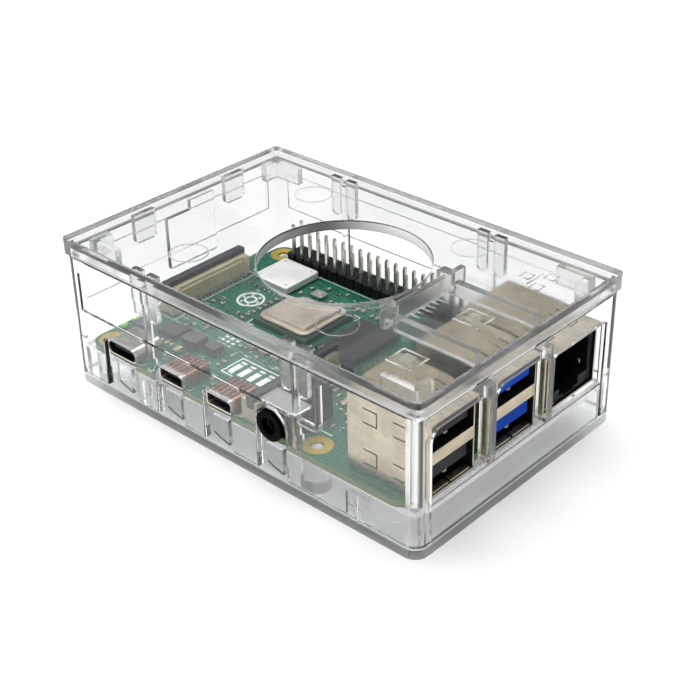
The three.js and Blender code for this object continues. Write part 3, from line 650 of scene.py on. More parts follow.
# --- case
finish_piece(
    clear_shell("case_lid", "lid_shell", 0.3, 0.15, 0.15), CLEAR_LID, "clear_plastic", "case_lid", body="lid"
)
finish_piece(
    clear_shell("case_frame", "frame_shell", 0.2, 0.15, axes=(0, 1)), CLEAR, "clear_plastic", "case_frame",
    body="frame",
)
finish_piece(clear_shell("case_base", "base_tray", 0.24, 0.15), CLEAR_TRAY, "clear_plastic", "case_base")

MARK_TOP = PLATE_UNDER - 0.02


def raised_bar(x, y):
    return soften(block("raised_bar", x, y, (MARK_TOP - 0.22, MARK_TOP)), 0.07, 1)


def raised_frame(x, y, line=0.35):
    return [
        raised_bar((x[0], x[1]), (y[0], y[0] + line)), raised_bar((x[0], x[1]), (y[1] - line, y[1])),
        raised_bar((x[0], x[0] + line), y), raised_bar((x[1] - line, x[1]), y),
    ]


def lid_marks():
    """Plain socket drawings over the ports, a row of strokes beside the fin, all under the plate."""
    marks = []
    for pad in PORT_PADS[:2]:
        middle = sum(pad) / 2
        marks += raised_frame((74.6, 80.4), (middle - 2.6, middle + 2.6))
        marks.append(raised_bar((76.2, 78.8), (middle - 1.5, middle + 1.5)))
    middle = sum(PORT_PADS[2]) / 2
    for x, y in ((75.2, middle), (79.2, middle - 2.4), (79.2, middle + 2.4)):
        marks += raised_frame((x - 1.2, x + 1.2), (y - 1.2, y + 1.2), 0.3)
    marks.append(raised_bar((76.9, 77.3), (middle - 2.6, middle + 2.6)))
    for index in range(9):
        y = 19.6 + index * 1.5
        marks.append(raised_bar((68.0, 70.6 - (index % 3) * 0.5), (y, y + 0.35)))
        if index % 2:
            marks.append(raised_bar((68.0, 68.35), (y, y + 1.2)))
    return weld(marks, "lid_marks")


finish_piece(lid_marks(), CLEAR_LID, "clear_plastic", body="lid")


# --- board and its print
repaint("circuit_board", BOARD)
BOARD_Y = limits("circuit_board")[1].y
BOARD_UNDER = limits("circuit_board")[0].z
HOLE_IN, HOLE_FAR = 3.5, 61.5
HOLES = [(x, y) for y in (HOLE_IN, BOARD_Y - HOLE_IN) for x in (HOLE_IN, HOLE_FAR)]
PRINT_FOOT, PRINT = 0.004, 0.025


def ring(name, x, y, z, outer, inner, thickness, sides=40):
    """A flat ring lying on z, cut from a rod by pushing its middle out."""
    piece = rod(name, (x, y, z + thickness / 2), outer, thickness, sides)
    pick_faces(piece, lambda middle, normal: abs(normal.z) > 0.9)
    inset(outer - inner, individual=True)
    bpy.ops.mesh.bridge_edge_loops()
    leave()
    return piece


rings = [ring("hole_ring", x, y, 0, 2.95, 1.36, PRINT) for x, y in HOLES]
rings += [
    ring("hole_lining", x, y, BOARD_UNDER - PRINT, 1.345, 1.28, PRINT * 2 - BOARD_UNDER, 24) for x, y in HOLES
]
ejectors = [ring("ejector_ring", x, y, MARK_TOP - 0.1, 4.0, 3.7, 0.1, 56)
            for x, y in ((19.6, 11.2), (60.6, 9.8), (60.1, 48.7), (19.6, 46.5))]
finish_piece(weld(ejectors, "ejector_rings"), CLEAR_LID, "clear_plastic", body="lid")
finish_piece(weld(rings, "gold_hole_rings"), RING, "gold_pin")


def print_bar(x, y):
    return block("print_bar", x, y, (PRINT_FOOT, PRINT))


def print_frame(x0, x1, y0, y1, line=0.16):
    return [
        print_bar((x0, x1), (y0, y0 + line)), print_bar((x0, x1), (y1 - line, y1)),
        print_bar((x0, x0 + line), (y0 + line, y1 - line)),
        print_bar((x1 - line, x1), (y0 + line, y1 - line)),
    ]


def print_corners(x0, x1, y0, y1, leg=1.2, line=0.16):
    bars = []
    for x, dx in ((x0, 1), (x1, -1)):
        for y, dy in ((y0, 1), (y1, -1)):
            bars.append(print_bar(sorted((x, x + dx * leg)), sorted((y, y + dy * line))))
            bars.append(print_bar(sorted((x, x + dx * line)), sorted((y, y + dy * leg))))
    return bars


def board_print():
    bars = []
    bars += print_frame(7, 58.3, 49.7, 55.2, 0.2)
    bars += print_frame(58.5, 64.2, 42.8, 48.4)
    bars += print_corners(20.8, 37.7, 24.0, 41.0, 2.2, 0.2)
    bars += print_corners(38.9, 50.4, 24.6, 40.4)
    bars += print_corners(53.9, 62.9, 31, 39.8)
    bars += print_corners(49.6, 57.6, 40.8, 48.7)
    bars += print_frame(1.4, 7.2, 16.8, 40.2)
    bars += print_frame(43.9, 49.7, 0.7, 22.6)
    bars += print_corners(6.4, 16.2, 0.4, 7.2)
    for x in (26, 39.5):
        bars += print_corners(x - 4.2, x + 4.2, 0.4, 7.4)
    # A plain white panel with bars, where makers print their own mark.
    bars.append(print_bar((50.5, 61.5), (7.2, 7.5)))
    for index in range(5):
        bars.append(print_bar((30.2 + index * 2.6, 31.6 + index * 2.6), (10.2, 13.4)))
        bars.append(print_bar((30.2 + index * 2.6, 31.6 + index * 2.6), (13.9, 14.5)))
    bars += print_frame(29.2, 43.0, 9.2, 15.5, 0.3)
    for column in range(3):
        for row in range(4):
            x, y = 20.2 + column * 1.5, 16.6 + row * 1.3
            bars.append(print_bar((x, x + 0.9), (y, y + 0.6)))
    for _ in range(90):
        x = dice.uniform(8, 62)
        y = dice.uniform(9, 48)
        length = dice.choice((0.5, 0.7, 0.9))
        if any(a < x < b and c < y < d for a, b, c, d in BUSY):
            continue
        if dice.random() < 0.5:
            bars.append(print_bar((x, x + length), (y, y + 0.16)))
        else:
            bars.append(print_bar((x, x + 0.16), (y, y + length)))
    thickness = PRINT - PRINT_FOOT
    centre_x, centre_y = 14.6, 31.4
    marks = [ring("round_mark", centre_x, centre_y, PRINT_FOOT, outer, outer - 0.5, thickness, sides)
             for outer, sides in ((3.1, 48), (1.5, 32))]
    for step in range(6):
        angle = step * math.pi / 3
        x, y = centre_x + 2.05 * math.cos(angle), centre_y + 2.05 * math.sin(angle)
        marks.append(ring("round_mark", x, y, PRINT_FOOT, 0.34, 0.12, thickness, 12))
    return weld(bars + marks, "board_print")


# Where the larger parts stand, so that small parts and print keep off them: x0, x1, y0, y1.
BUSY = [
    (20.4, 38.2, 23.6, 41.4), (38.4, 50.8, 23.8, 41), (53.4, 63.4, 30.6, 40.4), (49.2, 58, 40.4, 49),
    (0.6, 8.6, 15.6, 41.4), (43, 51, 0, 23.4), (5.6, 16.8, 0, 8), (21.4, 30.6, 0, 8), (34.9, 44.2, 0, 8),
    (49.8, 58.2, 0, 13), (6.4, 64.8, 48.6, 56), (57.8, 65, 42, 49), (6.8, 18.4, 38.4, 50),
    (8, 14.4, 10.2, 16.6), (15.4, 20.9, 9.8, 15.4), (21.2, 25.8, 10.9, 15.6), (2.8, 7.4, 7.2, 12.2),
    (21, 26, 41.6, 45.4), (0, 7, 0, 7), (58, 65, 0, 7), (0, 7, 49, 56), (58, 65, 49, 56),
    (64.8, 86, 0, 56), (0, 3, 0, 56), (28.4, 43.8, 8.4, 16.2), (11, 18.2, 27.8, 35),
    (19.6, 24.8, 16, 22.4), (49.4, 62, 6.8, 8),
]
finish_piece(board_print(), SILK, "board_green")


def clear_of(x, y, margin):
    return not any(a - margin < x < b + margin and c - margin < y < d + margin for a, b, c, d in BUSY)


def small_part(name, length, width, height, cap):
    """A chip capacitor or resistor: its body, and the two metal ends that wrap it."""
    body = block(name, (-length / 2 + cap, length / 2 - cap), (-width / 2, width / 2), (0.03, height))
    soften(body, 0.03, 1)
    ends = [
        block(name + "_end", sorted((side * length / 2, side * (length / 2 - cap))),
              (-width / 2 - 0.02, width / 2 + 0.02), (0.02, height + 0.02))
        for side in (-1, 1)
    ]
    return body, soften(weld(ends, name + "_ends"), 0.05, 2)


def scatter(kind, material, length, width, height, cap, places):
    """Copies a small part to each place, turned a quarter where its last value says so."""
    body, ends = small_part(kind, length, width, height, cap)
    quarter = Matrix.Rotation(math.pi / 2, 4, "Z")
    to_origin = Matrix.Translation(-DATUM)
    for source, name, paint, slot in (
        (body, kind + "s", material, "chip_black"), (ends, kind + "_ends", SOLDER, "tin"),
    ):
        made = []
        for x, y, turned in places:
            copy = clone(source)
            copy.data.transform(to_origin)
            if turned:
                copy.data.transform(quarter)
            copy.data.transform(Matrix.Translation(spot(x, y, 0)))
            made.append(copy)
        bpy.data.objects.remove(source)
        finish_piece(weld(made, name), paint, slot)


def row(x, y, count, step_x, step_y, turned):
    return [(x + i * step_x, y + i * step_y, turned) for i in range(count)]


def loose_places(count, margin):
    found = []
    while len(found) < count:
        x, y = dice.uniform(8, 63), dice.uniform(8.5, 48)
        if clear_of(x, y, margin) and all(abs(x - a) > 1.5 or abs(y - b) > 1.2 for a, b, _ in found + TAKEN):
            found.append((round(x, 1), round(y, 1), dice.random() < 0.5))
    TAKEN.extend(found)
    return found


TAKEN = []
capacitor_rows = (
    row(22.2, 22.6, 9, 1.55, 0, True) + row(52.2, 26, 5, 0, 1.6, False) + row(39.4, 42.4, 6, 1.5, 0, True)
    + row(27.6, 10.2, 2, 0, 1.6, False) + row(19.2, 24.4, 8, 0, 1.7, False) + row(64, 16, 6, 0, 1.8, False)
    + row(9.4, 18.6, 5, 0, 1.7, False) + row(27.2, 42.8, 7, 1.6, 0, True) + row(8.8, 9.2, 5, 1.5, 0, True)
)
resistor_rows = (
    row(31.6, 3.2, 2, 0, 1.7, False) + row(32.9, 3.2, 3, 0, 1.7, False) + row(45.6, 24.2, 4, 1.2, 0, True)
    + row(18, 3.2, 3, 0, 1.6, False) + row(19.8, 3.2, 3, 0, 1.6, False) + row(52, 20.2, 7, 1.5, 0, True)
    + row(52, 22.4, 7, 1.5, 0, True) + row(40.4, 18, 2, 0, 2.2, False) + row(9.6, 36.4, 6, 1.5, 0, True)
)
TAKEN.extend(capacitor_rows + resistor_rows)
scatter("ceramic_capacitor", CERAMIC, 1.0, 0.55, 0.55, 0.24, capacitor_rows + loose_places(46, 0.7))
scatter("film_resistor", RESISTOR, 1.0, 0.55, 0.38, 0.22, resistor_rows + loose_places(34, 0.7))
scatter("large_capacitor", CERAMIC, 1.9, 1.2, 0.95, 0.4, [
    (28, 19.4, False), (31.4, 19.4, False), (34.8, 19.4, False), (13.2, 20, True), (15.4, 20, True),
    (17.4, 8.6, True), (56.4, 16.4, True), (59, 16.4, True), (61.4, 16.4, True), (38.6, 20, True),
])


# --- chips and cans
for chip_node, chip_material in (
    ("processor_package", SUBSTRATE), ("memory_chip", RESIN), ("usb_controller_chip", RESIN),
    ("ethernet_phy_chip", RESIN), ("power_chip", RESIN),
    ("status_led_power", LAMP), ("status_led_activity", LAMP),
    ("usb_c_tongue", BLACK), ("micro_video_tongue_1", BLACK), ("micro_video_tongue_2", BLACK),
    ("ethernet_contacts", GOLD),
):
    repaint(chip_node, chip_material)


def round_uprights(piece, radius, segments=4):
    """Rounds the edges of a block that stand upright."""
    enter(piece, "EDGE")
    mesh = bmesh.from_edit_mesh(piece.data)
    for edge in mesh.edges:
        run = edge.verts[0].co - edge.verts[1].co
        edge.select_set(abs(run.z) > 0.95 * run.length)
    bmesh.update_edit_mesh(piece.data)
    bpy.ops.mesh.bevel(offset=radius * MM, segments=segments)
    leave()
    return piece


def heat_spreader():
    low, high = limits("processor_heat_spreader")
    brim = 0.6
    corner = 1.9
    piece = block("heat_spreader_lid", (low.x, high.x), (low.y, high.y), (low.z, low.z + brim))
    round_uprights(piece, corner)
    pick_faces(piece, faces_up)
    inset(0.95)
    inset(0.4, depth=high.z - low.z - brim)
    leave()
    return soften(piece, 0.08, angle=math.radians(25))


finish_piece(heat_spreader(), SPREADER, "nickel", "processor_heat_spreader")


def radio_can():
    low, high = limits("wireless_can")
    piece = filled("radio_can", low, high)
    round_uprights(piece, 0.7)
    soften(piece, 0.22, 3)
    holes = []
    for x in (low.x + 1.3, high.x - 1.3):
        for y in (low.y + 1.3, high.y - 1.3):
            holes.append(rod("vent", (x, y, high.z), 0.28, 0.6, 16))
    carve(piece, weld(holes, "vents"))
    return piece


finish_piece(radio_can(), CAN, "tin", "wireless_can")


def crystal():
    low, high = limits("crystal_can")
    piece = block("crystal_lid", (low.x, high.x), (low.y, high.y), (low.z, high.z - 0.15))
    round_uprights(piece, 0.35, 3)
    pick_faces(piece, faces_up)
    inset(0.25)
    push(z=0.15)
    leave()
    return soften(piece, 0.05)


finish_piece(crystal(), NICKEL, "tin", "crystal_can")


def inductor(number):
    node = f"power_inductor_{number}"
    low, high = limits(node)
    piece = filled(f"wound_inductor_{number}", low, high)
    round_uprights(piece, 0.7, 3)
    pick_faces(piece, faces_up)
    inset(0.5)
    inset(0.12, depth=-0.1)
    leave()
    finish_piece(soften(piece, 0.14, 3), FERRITE, "ferrite", node)
    middle = (low + high) / 2
    return [
        block("terminal", sorted((x, x + side * 0.28)), (middle.y - 0.9, middle.y + 0.9), (0.02, 0.62))
        for x, side in ((low.x, -1), (high.x, 1))
    ]


terminals = [end for number in (1, 2, 3) for end in inductor(number)]
finish_piece(soften(weld(terminals, "inductor_terminals"), 0.06), SOLDER, "tin")


def chip_pads():
    """Rows of small leads round the flat chips."""
    pads = []
    for node, pitch in (("usb_controller_chip", 0.8), ("ethernet_phy_chip", 0.8), ("power_chip", 0.7)):
        low, high = limits(node)
        count = int((high.x - low.x - 1) / pitch) + 1
        for index in range(count):
            along = index * pitch - (count - 1) * pitch / 2
            x = (low.x + high.x) / 2 + along
            y = (low.y + high.y) / 2 + along
            for edge, out in ((low.y, -1), (high.y, 1)):
                reach = sorted((edge - out * 0.1, edge + out * 0.34))
                pads.append(block("pad", (x - 0.16, x + 0.16), reach, (0.01, 0.24)))
            for edge, out in ((low.x, -1), (high.x, 1)):
                reach = sorted((edge - out * 0.1, edge + out * 0.34))
                pads.append(block("pad", reach, (y - 0.16, y + 0.16), (0.01, 0.24)))
    return weld(pads, "chip_leads")


finish_piece(chip_pads(), SOLDER, "tin")


def chip_marks():
    """A dot at the first corner of each chip, and plain bars where its code would be."""
    marks = []
    for node in ("memory_chip", "usb_controller_chip", "ethernet_phy_chip", "power_chip"):
        low, high = limits(node)
        marks.append(rod("dot", (low.x + 1.1, low.y + 1.1, high.z + 0.008), 0.32, 0.016, 20))
        width = high.x - low.x
        for line in range(3):
            y = (low.y + high.y) / 2 + (line - 1) * 1.15
            marks.append(block(
                "bar", (low.x + width * 0.24, high.x - width * (0.22 + 0.1 * line)), (y, y + 0.34),
                (high.z, high.z + 0.016),
            ))
    return weld(marks, "chip_marks")


finish_piece(chip_marks(), SLATE, "chip_black")

# --- video edge
finish_piece(refined_copy("usb_c_shell", "usb_c_housing", 0.07), NICKEL, "nickel", "usb_c_shell")


def video_plating():
    """Silver at the mouth, going to a warm copper tone on the part behind the wall."""
    paint = Paint("video_port_plating")
    tone = paint.put(PATCHES, Scale=500.0)
    lines = paint.put(BRUSHING, Stretch=(1.0, 10.0, 10.0), Scale=700.0)
    axes = add(paint.tree, "SeparateXYZ")
    paint.link(paint.place, axes.inputs[0])
    edge = spot(0, -0.1, 0).y
    inner = paint.spread(axes.outputs["Y"], edge, edge + 0.9 * MM)
    silver = paint.blend(tone.outputs["Patches"], (0.60, 0.57, 0.52), (0.80, 0.77, 0.72))
    bands = paint.texture("TexWave", {"Scale": 270.0, "Distortion": 0.6})
    bare = paint.blend(lines.outputs["Lines"], (0.36, 0.18, 0.115), (0.60, 0.36, 0.26))
    copper = paint.blend(paint.spread(bands.outputs["Fac"], 0.2, 0.5, 0.75, 0.0), bare, (0.09, 0.045, 0.03))
    paint.feed(
        Base_Color=paint.blend(inner, silver, copper),
        Roughness=paint.spread(lines.outputs["Lines"], 0.3, 0.7, 0.2, 0.36), Normal=lines.outputs["Normal"],
    )
    paint.set(Metallic=1.0)
    return paint.material


VIDEO_PLATE = video_plating()


def video_port(number):
    node = f"micro_video_shell_{number}"
    low, high = limits(node)
    piece = refined_copy(node, f"micro_video_housing_{number}", 0.06)
    middle = (low.x + high.x) / 2
    slots = []
    for x in (middle - 1.7, middle + 1.7):
        for pair, end in (((x - 0.62, x - 0.42), 4.4), ((x + 0.42, x + 0.62), 4.4), ((x - 0.5, x + 0.5), 1.42)):
            slots.append(block("slot", pair, (1.2, end), (high.z - 0.5, high.z + 0.5)))
    for slot in slots:
        carve(piece, slot)
    finish_piece(piece, VIDEO_PLATE, "nickel", node)


video_port(1)
video_port(2)


def port_pins():
    """Gold contacts on the tongues of the three small ports."""
    pins = []
    for node, count, pitch, drop in (
        ("usb_c_tongue", 12, 0.5, 0.0), ("micro_video_tongue_1", 9, 0.4, -0.02),
        ("micro_video_tongue_2", 9, 0.4, -0.02),
    ):
        low, high = limits(node)
        tongue_z = (low.z + high.z) / 2 + drop
        middle = (low.x + high.x) / 2
        for index in range(count):
            x = middle + (index - (count - 1) / 2) * pitch
            pins.append(block(
                "contact", (x - 0.12, x + 0.12), (low.y + 0.25, low.y + 3.2), (tongue_z + 0.3, tongue_z + 0.42)
            ))
    return weld(pins, "port_contacts")


finish_piece(port_pins(), GOLD, "gold_pin")


def audio_socket():
    low, high = limits("audio_jack")
    middle = (low.x + high.x) / 2
    axis = (low.z + high.z) / 2
    radius = (high.z - low.z) / 2
    body_front = 0.1
    body = block("audio_socket", (low.x, high.x), (body_front, high.y), (low.z, high.z))
    soften(body, 0.25, 3)
    quarter = (math.pi / 2, 0, 0)
    barrel = rod(
        "barrel", (middle, (low.y + body_front) / 2, axis), radius, body_front - low.y + 0.02, 56, quarter
    )
    pick_faces(barrel, lambda centre, normal: normal.y < -0.9)
    inset(radius - 1.75)
    push(y=2.2)
    leave()
    soften(barrel, 0.09, 3)
    sleeve = rod("sleeve", (middle, low.y + 1.7, axis), 1.74, 0.7, 40, quarter)
    pick_faces(sleeve, lambda centre, normal: abs(normal.y) > 0.9)
    inset(0.22, individual=True)
    bpy.ops.mesh.bridge_edge_loops()
    leave()
    soften(sleeve, 0.04)
    finish_piece(sleeve, NICKEL, "nickel")
    return weld([body, barrel], "audio_socket")


finish_piece(audio_socket(), GLOSS_BLACK, "black_plastic", "audio_jack")


# --- ribbon connectors
def ribbon_connector(use, side):
    """Side is the way along X that the latch stands from the open channel."""
    node = f"{use}_connector"
    low, high = limits(node)
    back, front = (low.x, high.x) if side < 0 else (high.x, low.x)

    def across(start, end):
        """Two distances from the connector's latch side, as places along X."""
        return sorted((back - side * start, back - side * end))

    body = filled(f"{use}_connector_body", low, high)
    soften(body, 0.12)
    carve(body, block("channel", across(0.98, 2.02), (low.y + 1, high.y - 1), (1.4, high.z + 1)))
    carve(body, block("relief", across(3.7, 4.4), (low.y + 1.6, high.y - 1.6), (high.z - 0.7, high.z + 0.5)))
    finish_piece(body, BEIGE, "beige_plastic", node)
    leads = []
    for index in range(19):
        y = (low.y + high.y) / 2 + (index - 9)
        leads.append(block("lead", across(4.1, 5.05), (y - 0.22, y + 0.22), (0.02, 0.24)))
        leads.append(block("lead", across(4.1, 4.36), (y - 0.22, y + 0.22), (0.1, 1.3)))
    for y in (low.y + 0.5, high.y - 0.5):
        leads.append(block("anchor", across(-0.7, 0.4), (y - 0.7, y + 0.7), (0.02, 0.3)))
    finish_piece(soften(weld(leads, f"{use}_leads"), 0.04, 1), SOLDER, "tin")
    latch_low, latch_high = limits(node + "_latch")
    bar = block(f"{use}_latch_bar", (latch_low.x, latch_high.x), (latch_low.y, latch_high.y),
                (latch_high.z - 1.1, latch_high.z))
    pick_faces(bar, faces_up)
    inset(0.35)
    inset(0.1, depth=-0.2)
    leave()
    soften(bar, 0.1)
    lug_x, lug_z = (latch_low.x + 0.1, latch_high.x - 0.1), (latch_high.z - 2.6, latch_high.z - 0.9)
    lugs = [soften(block("lug", lug_x, pair, lug_z), 0.1)
            for pair in ((latch_low.y, latch_low.y + 0.3), (latch_high.y - 0.3, latch_high.y))]
    blade = block("blade", across(1.3, 1.7), (low.y + 1.9, high.y - 1.9), (2.3, latch_high.z - 1.0))
    finish_piece(
        weld([bar, blade, *lugs], f"{use}_latch_bar"), SLATE, "slate_plastic", node + "_latch",
        body=f"{use}_latch",
    )


ribbon_connector("camera", 1)
ribbon_connector("display", -1)


# --- USB and Ethernet
def cut_side_finger(shell, y_face, side, x, z, reach=3.4, rise=2.6, slit=0.32):
    """Cuts the slot round a spring finger in a shell's side, in the shape of a square bracket."""
    depth = sorted((y_face - side * 0.7, y_face + side * 0.3))
    slits = [
        block("slit", (x - reach / 2, x + reach / 2), depth, (z + rise / 2, z + rise / 2 + slit)),
        block("slit", (x - reach / 2, x + reach / 2), depth, (z - rise / 2 - slit, z - rise / 2)),
        block(
            "slit", (x + reach / 2 - slit, x + reach / 2), depth, (z - rise / 2 - slit, z + rise / 2 + slit)
        ),
    ]
    for tool in slits:
        carve(shell, tool)


def cut_top_finger(shell, corner, y, back, end, half, inner):
    """Cuts the slot round a spring finger in a shell's top.

    Back and end are distances from the shell's front, half and inner from the finger's middle.
    """
    front, top = corner.x, corner.z
    for x_pair, y_pair in (
        ((front - back, front - 3.2), (y - half, y - inner)),
        ((front - back, front - 3.2), (y + inner, y + half)),
        ((front - end[0], front - end[1]), (y - half, y + half)),
    ):
        carve(shell, block("slit", x_pair, y_pair, (top - 0.8, top + 0.4)))


def usb_stack(name, node, insulator, plastic, slot):
    low, high = limits(node)
    front = high.x
    wall, bar = 0.35, 1.9
    middle = (low.z + high.z) / 2
    shell = filled(name, low, high)
    for z in (middle - bar / 2, middle + bar / 2):
        cut_plane(shell, (0, 0, z), (0, 0, 1))
    pick_faces(shell, lambda at, normal: normal.x > 0.9 and abs(at.z - middle) > bar / 2)
    inset(wall, individual=True)
    push(x=-11.5)
    leave()
    for side, y_face in ((-1, low.y), (1, high.y)):
        for z in (low.z + 3.7, high.z - 3.7):
            for x in (front - 5.2, front - 12.2):
                cut_side_finger(shell, y_face, side, x, z)
    for y in (low.y + 3.6, high.y - 3.6):
        cut_top_finger(shell, high, y, 7, (3.4, 3.15), 1.2, 0.95)
    finish_piece(soften(shell, 0.07, 2), TIN, "tin", node)
    middle_y = (low.y + high.y) / 2
    # Painted shade on the inside faces of the socket bores.
    paint_shade_inside(
        shell, SHADED_SOCKET_INSIDE, lambda at: at.x < front - 0.7 and abs(at.y - middle_y) < 6.3
        and low.z + 0.2 < at.z < high.z - 0.2 and abs(at.x - low.x) > 0.5
    )
    lips = [soften(block("lip", (front - 1.5, front - 0.1), pair, (low.z + 0.36, low.z + 0.8)), 0.12)
            for pair in ((low.y + 0.9, middle_y - 0.25), (middle_y + 0.25, high.y - 0.9))]
    finish_piece(weld(lips, name.replace("shell", "lips")), TIN, "tin")
    socket = (high.z - low.z - bar) / 2
    tongues, contacts = [], []
    for floor_z, drop in ((low.z, 4.0), (low.z + socket + bar, 4.8)):
        z0 = floor_z + socket - drop
        tongue = block("tongue", (front - 11.4, front - 0.7), (low.y + 1.1, high.y - 1.1), (z0, z0 + 2.9))
        pick_faces(tongue, faces_front)
        bpy.ops.transform.resize(value=(1, 0.98, 0.88))
        leave()
        tongues.append(soften(tongue, 0.12, 2))
        back = block(
            "back", (front - 11.45, front - 10.6), (low.y + 0.45, high.y - 0.45),
            (floor_z + 0.45, floor_z + socket - 0.4),
        )
        tongues.append(soften(back, 0.1, 1))
        for index in range(4):
            y = middle_y + (index - 1.5) * 2.25
            strip = block("strip", (front - 9.8, front - 1.9), (y - 0.5, y + 0.5), (z0 - 0.12, z0 + 0.04))
            contacts.append(soften(strip, 0.05, 1))
        spring = block(
            "spring", (front - 2.4, front - 1.2), (middle_y - 0.5, middle_y + 0.5), (z0 - 0.9, z0 - 0.4)
        )
        contacts.append(soften(spring, 0.12, 1))
    finish_piece(weld(tongues, name.replace("shell", "tongues")), plastic, slot, insulator)
    finish_piece(weld(contacts, name.replace("shell", "contacts")), TIN, "gold_pin")


usb_stack("stacked_usb2_shell", "usb2_shell", "usb2_insulator", BLACK, "black_plastic")
usb_stack("stacked_usb3_shell", "usb3_shell", "usb3_insulator", BLUE, "blue_plastic")


def network_shell():
    low, high = limits("ethernet_shell")
    front = high.x
    shell = filled("network_shell", low, high)
    pick_faces(shell, faces_front)
    inset(0.4)
    push(x=-(front - low.x) + 0.5)
    leave()
    for side, y_face in ((-1, low.y), (1, high.y)):
        cut_side_finger(shell, y_face, side, front - 5, (low.z + high.z) / 2, 4.4, 3.4)
    for y in (low.y + 4.2, high.y - 4.2):
        cut_top_finger(shell, high, y, 8, (3.5, 3.2), 1.3, 1.0)
    return soften(shell, 0.08, 2)


network = finish_piece(network_shell(), TIN, "tin", "ethernet_shell")
net_low, net_high = limits("ethernet_shell")
# Painted shade on the inside faces of the network socket's shell.
paint_shade_inside(
    network, SHADED_SOCKET_INSIDE, lambda at: net_low.x + 0.2 < at.x < net_high.x - 0.8
    and net_low.y + 0.2 < at.y < net_high.y - 0.2 and net_low.z + 0.2 < at.z < net_high.z - 0.2
)
insert = refined_copy("ethernet_insert", "network_insert", 0.1)
finish_piece(insert, BLACK, "black_plastic", "ethernet_insert")
blades = [
    block(name, (net_high.x - x0, net_high.x - x1), y, z) for name, x0, x1, y, z in (
        ("blade", 3.2, 2.6, (net_high.y - 6.4, net_high.y - 0.9), (net_high.z - 2.6, net_high.z - 1.9)),
        ("stop", 2.9, 2.0, (net_high.y - 2.2, net_high.y - 0.8), (net_low.z + 3.6, net_low.z + 5.0)),
        ("spring", 1.6, 0.3, (net_low.y + 0.8, net_low.y + 3.6), (net_low.z + 0.6, net_low.z + 0.95)),
    )
]
for blade in blades:
    soften(blade, 0.1, 1)
finish_piece(weld(blades, "network_springs"), TIN, "tin")


# --- pin headers
def header_block(x, y, z, height):
    """The plastic for two pins, with the notched corners that stand between neighbours."""
    unit = block("header_unit", (x - 1.25, x + 1.25), (y - 1.27, y + 3.81), (z, z + height))
    round_uprights(unit, 0.42, 1)
    return soften(unit, 0.08, 1)


def header_pin(x, y, z, top):
    pin = block("pin", (x - 0.32, x + 0.32), (y - 0.32, y + 0.32), (z, top))
    pick_faces(pin, faces_up)
    push(z=0.35)
    bpy.ops.transform.resize(value=(0.5, 0.5, 1))
    leave()
    pin.data.shade_flat()
    return pin


PITCH = 2.54


def pin_header(name, node, columns):
    low, high = limits(node)
    x, y = low.x + PITCH / 2, low.y + PITCH / 2
    block_name = name + "_block"
    units = repeat(header_block(x, y, low.z, 2.5), [(i * PITCH, 0, 0) for i in range(columns)], block_name)
    finish_piece(units, BLACK, "black_plastic", node)
    places = [(i * PITCH, j * PITCH, 0) for i in range(columns) for j in range(2)]
    pins = repeat(header_pin(x, y, low.z + 2.4, high.z - 0.35), places, name + "_pins")
    finish_piece(pins, PIN, "gold_pin")
    return [(x + step[0], y + step[1]) for step in places]


JOINT_PLACES = pin_header("header_40_way", "gpio_header", 20)
JOINT_PLACES += pin_header("header_4_way", "power_pin_header", 2)


# --- underside
def solder_joint():
    cone = rod("joint", (0, 0, BOARD_UNDER - 0.06), 0.85, 0.12, 12)
    pick_faces(cone, lambda at, normal: normal.z < -0.9)
    for drop in (-0.5, -0.55):
        push(z=drop)
        bpy.ops.transform.resize(value=(0.55, 0.55, 1))
    leave()
    return soften(cone, 0.06, 1)


for node_name, xs, ys in (
    ("usb2_shell", (-16, -13.5), (-4, -1.3, 1.3, 4)), ("usb3_shell", (-16, -13.5, -11), (-4, -2, 0, 2, 4)),
    ("ethernet_shell", (-17.5, -15, -12.5), (-4.5, -1.5, 1.5, 4.5)),
):
    shell_low, shell_high = limits(node_name)
    middle_y = (shell_low.y + shell_high.y) / 2
    JOINT_PLACES += [(shell_high.x + dx, middle_y + dy) for dx in xs for dy in ys]
joints = repeat(solder_joint(), [(x, y, 0) for x, y in JOINT_PLACES], "solder_joints")
finish_piece(joints, SOLDER, "tin")


def card_cage():
    low, high = limits("memory_card_socket")
    piece = refined_copy("memory_card_socket", "card_cage", 0.05)
    middle = (low.y + high.y) / 2
    for y in (middle - 3.4, middle + 3.4):
        for pair in ((y - 0.8, y - 0.55), (y + 0.55, y + 0.8)):
            carve(piece, block("slot", (low.x + 3, low.x + 8), pair, (low.z - 0.3, low.z + 0.4)))
    finish_piece(piece, NICKEL, "tin", "memory_card_socket")


card_cage()

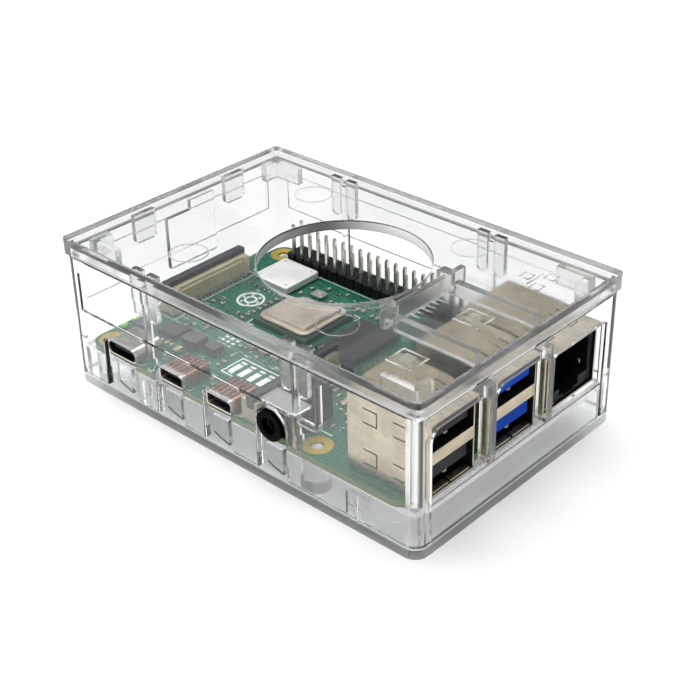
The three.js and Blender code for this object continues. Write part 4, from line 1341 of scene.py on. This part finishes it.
# --- camera, floor and light
CAMERA_PLACE = (0.169347, -0.178151, 0.160447)
CAMERA_AXES = (
    (0.748996, 0.662525, -0.008093), (-0.330598, 0.384276, 0.861996), (0.574204, -0.642956, 0.506851),
)
camera_data = bpy.data.cameras.new("studio_camera")
camera_data.sensor_width = 36
camera_data.lens = 73.38
camera_data.shift_x = -0.0357
camera_data.shift_y = -0.0286
camera_data.clip_start = 0.01
camera = bpy.data.objects.new("studio_camera", camera_data)
camera.matrix_world = Matrix.Translation(CAMERA_PLACE) @ Matrix(CAMERA_AXES).transposed().to_4x4()
bpy.context.scene.collection.objects.link(camera)
bpy.context.scene.camera = camera


def area_light(name, place, size, power):
    data = bpy.data.lights.new(name, "AREA")
    data.shape = "RECTANGLE"
    data.size, data.size_y = size
    data.energy = power
    lamp = bpy.data.objects.new(name, data)
    lamp.location = place
    lamp.rotation_euler = (-Vector(place)).to_track_quat("-Z", "Y").to_euler()
    bpy.context.scene.collection.objects.link(lamp)


area_light("overhead_softbox", (-0.15, 0.1, 0.9), (0.9, 0.9), 7.0)
area_light("key_softbox", (-0.55, -0.35, 0.6), (0.5, 0.5), 1.3)
area_light("fill_softbox", (0.65, -0.55, 0.4), (0.5, 0.4), 0.8)

world = bpy.data.worlds.new("studio")
world.use_nodes = True
backdrop = world.node_tree.nodes["Background"]
backdrop.inputs["Color"].default_value = (0.97, 0.985, 1.0, 1)
backdrop.inputs["Strength"].default_value = 0.27
bpy.context.scene.world = world
bpy.context.scene.view_settings.view_transform = "Standard"
# Light runs a long way inside clear walls, so it may turn more often than Blender starts with.
BOUNCES = 24
bpy.context.scene.cycles.max_bounces = BOUNCES
bpy.context.scene.cycles.transmission_bounces = BOUNCES

FLOOR_SIZE, FLOOR_LEVEL = 6, -0.0002
bpy.ops.mesh.primitive_plane_add(size=FLOOR_SIZE, location=(0, 0, FLOOR_LEVEL))
floor = bpy.context.active_object
floor.name = "studio_floor"
floor_paint = Paint("studio_floor")
floor_tone = floor_paint.put(PATCHES, Scale=3.0)
floor_paint.feed(
    Base_Color=floor_paint.blend(floor_tone.outputs["Patches"], (0.88, 0.885, 0.89), (0.9, 0.9, 0.9))
)
floor_paint.set(Roughness=0.7, Emission_Color=(1.0, 1.0, 1.0, 1), Emission_Strength=0.26)
floor.data.materials.append(floor_paint.material)
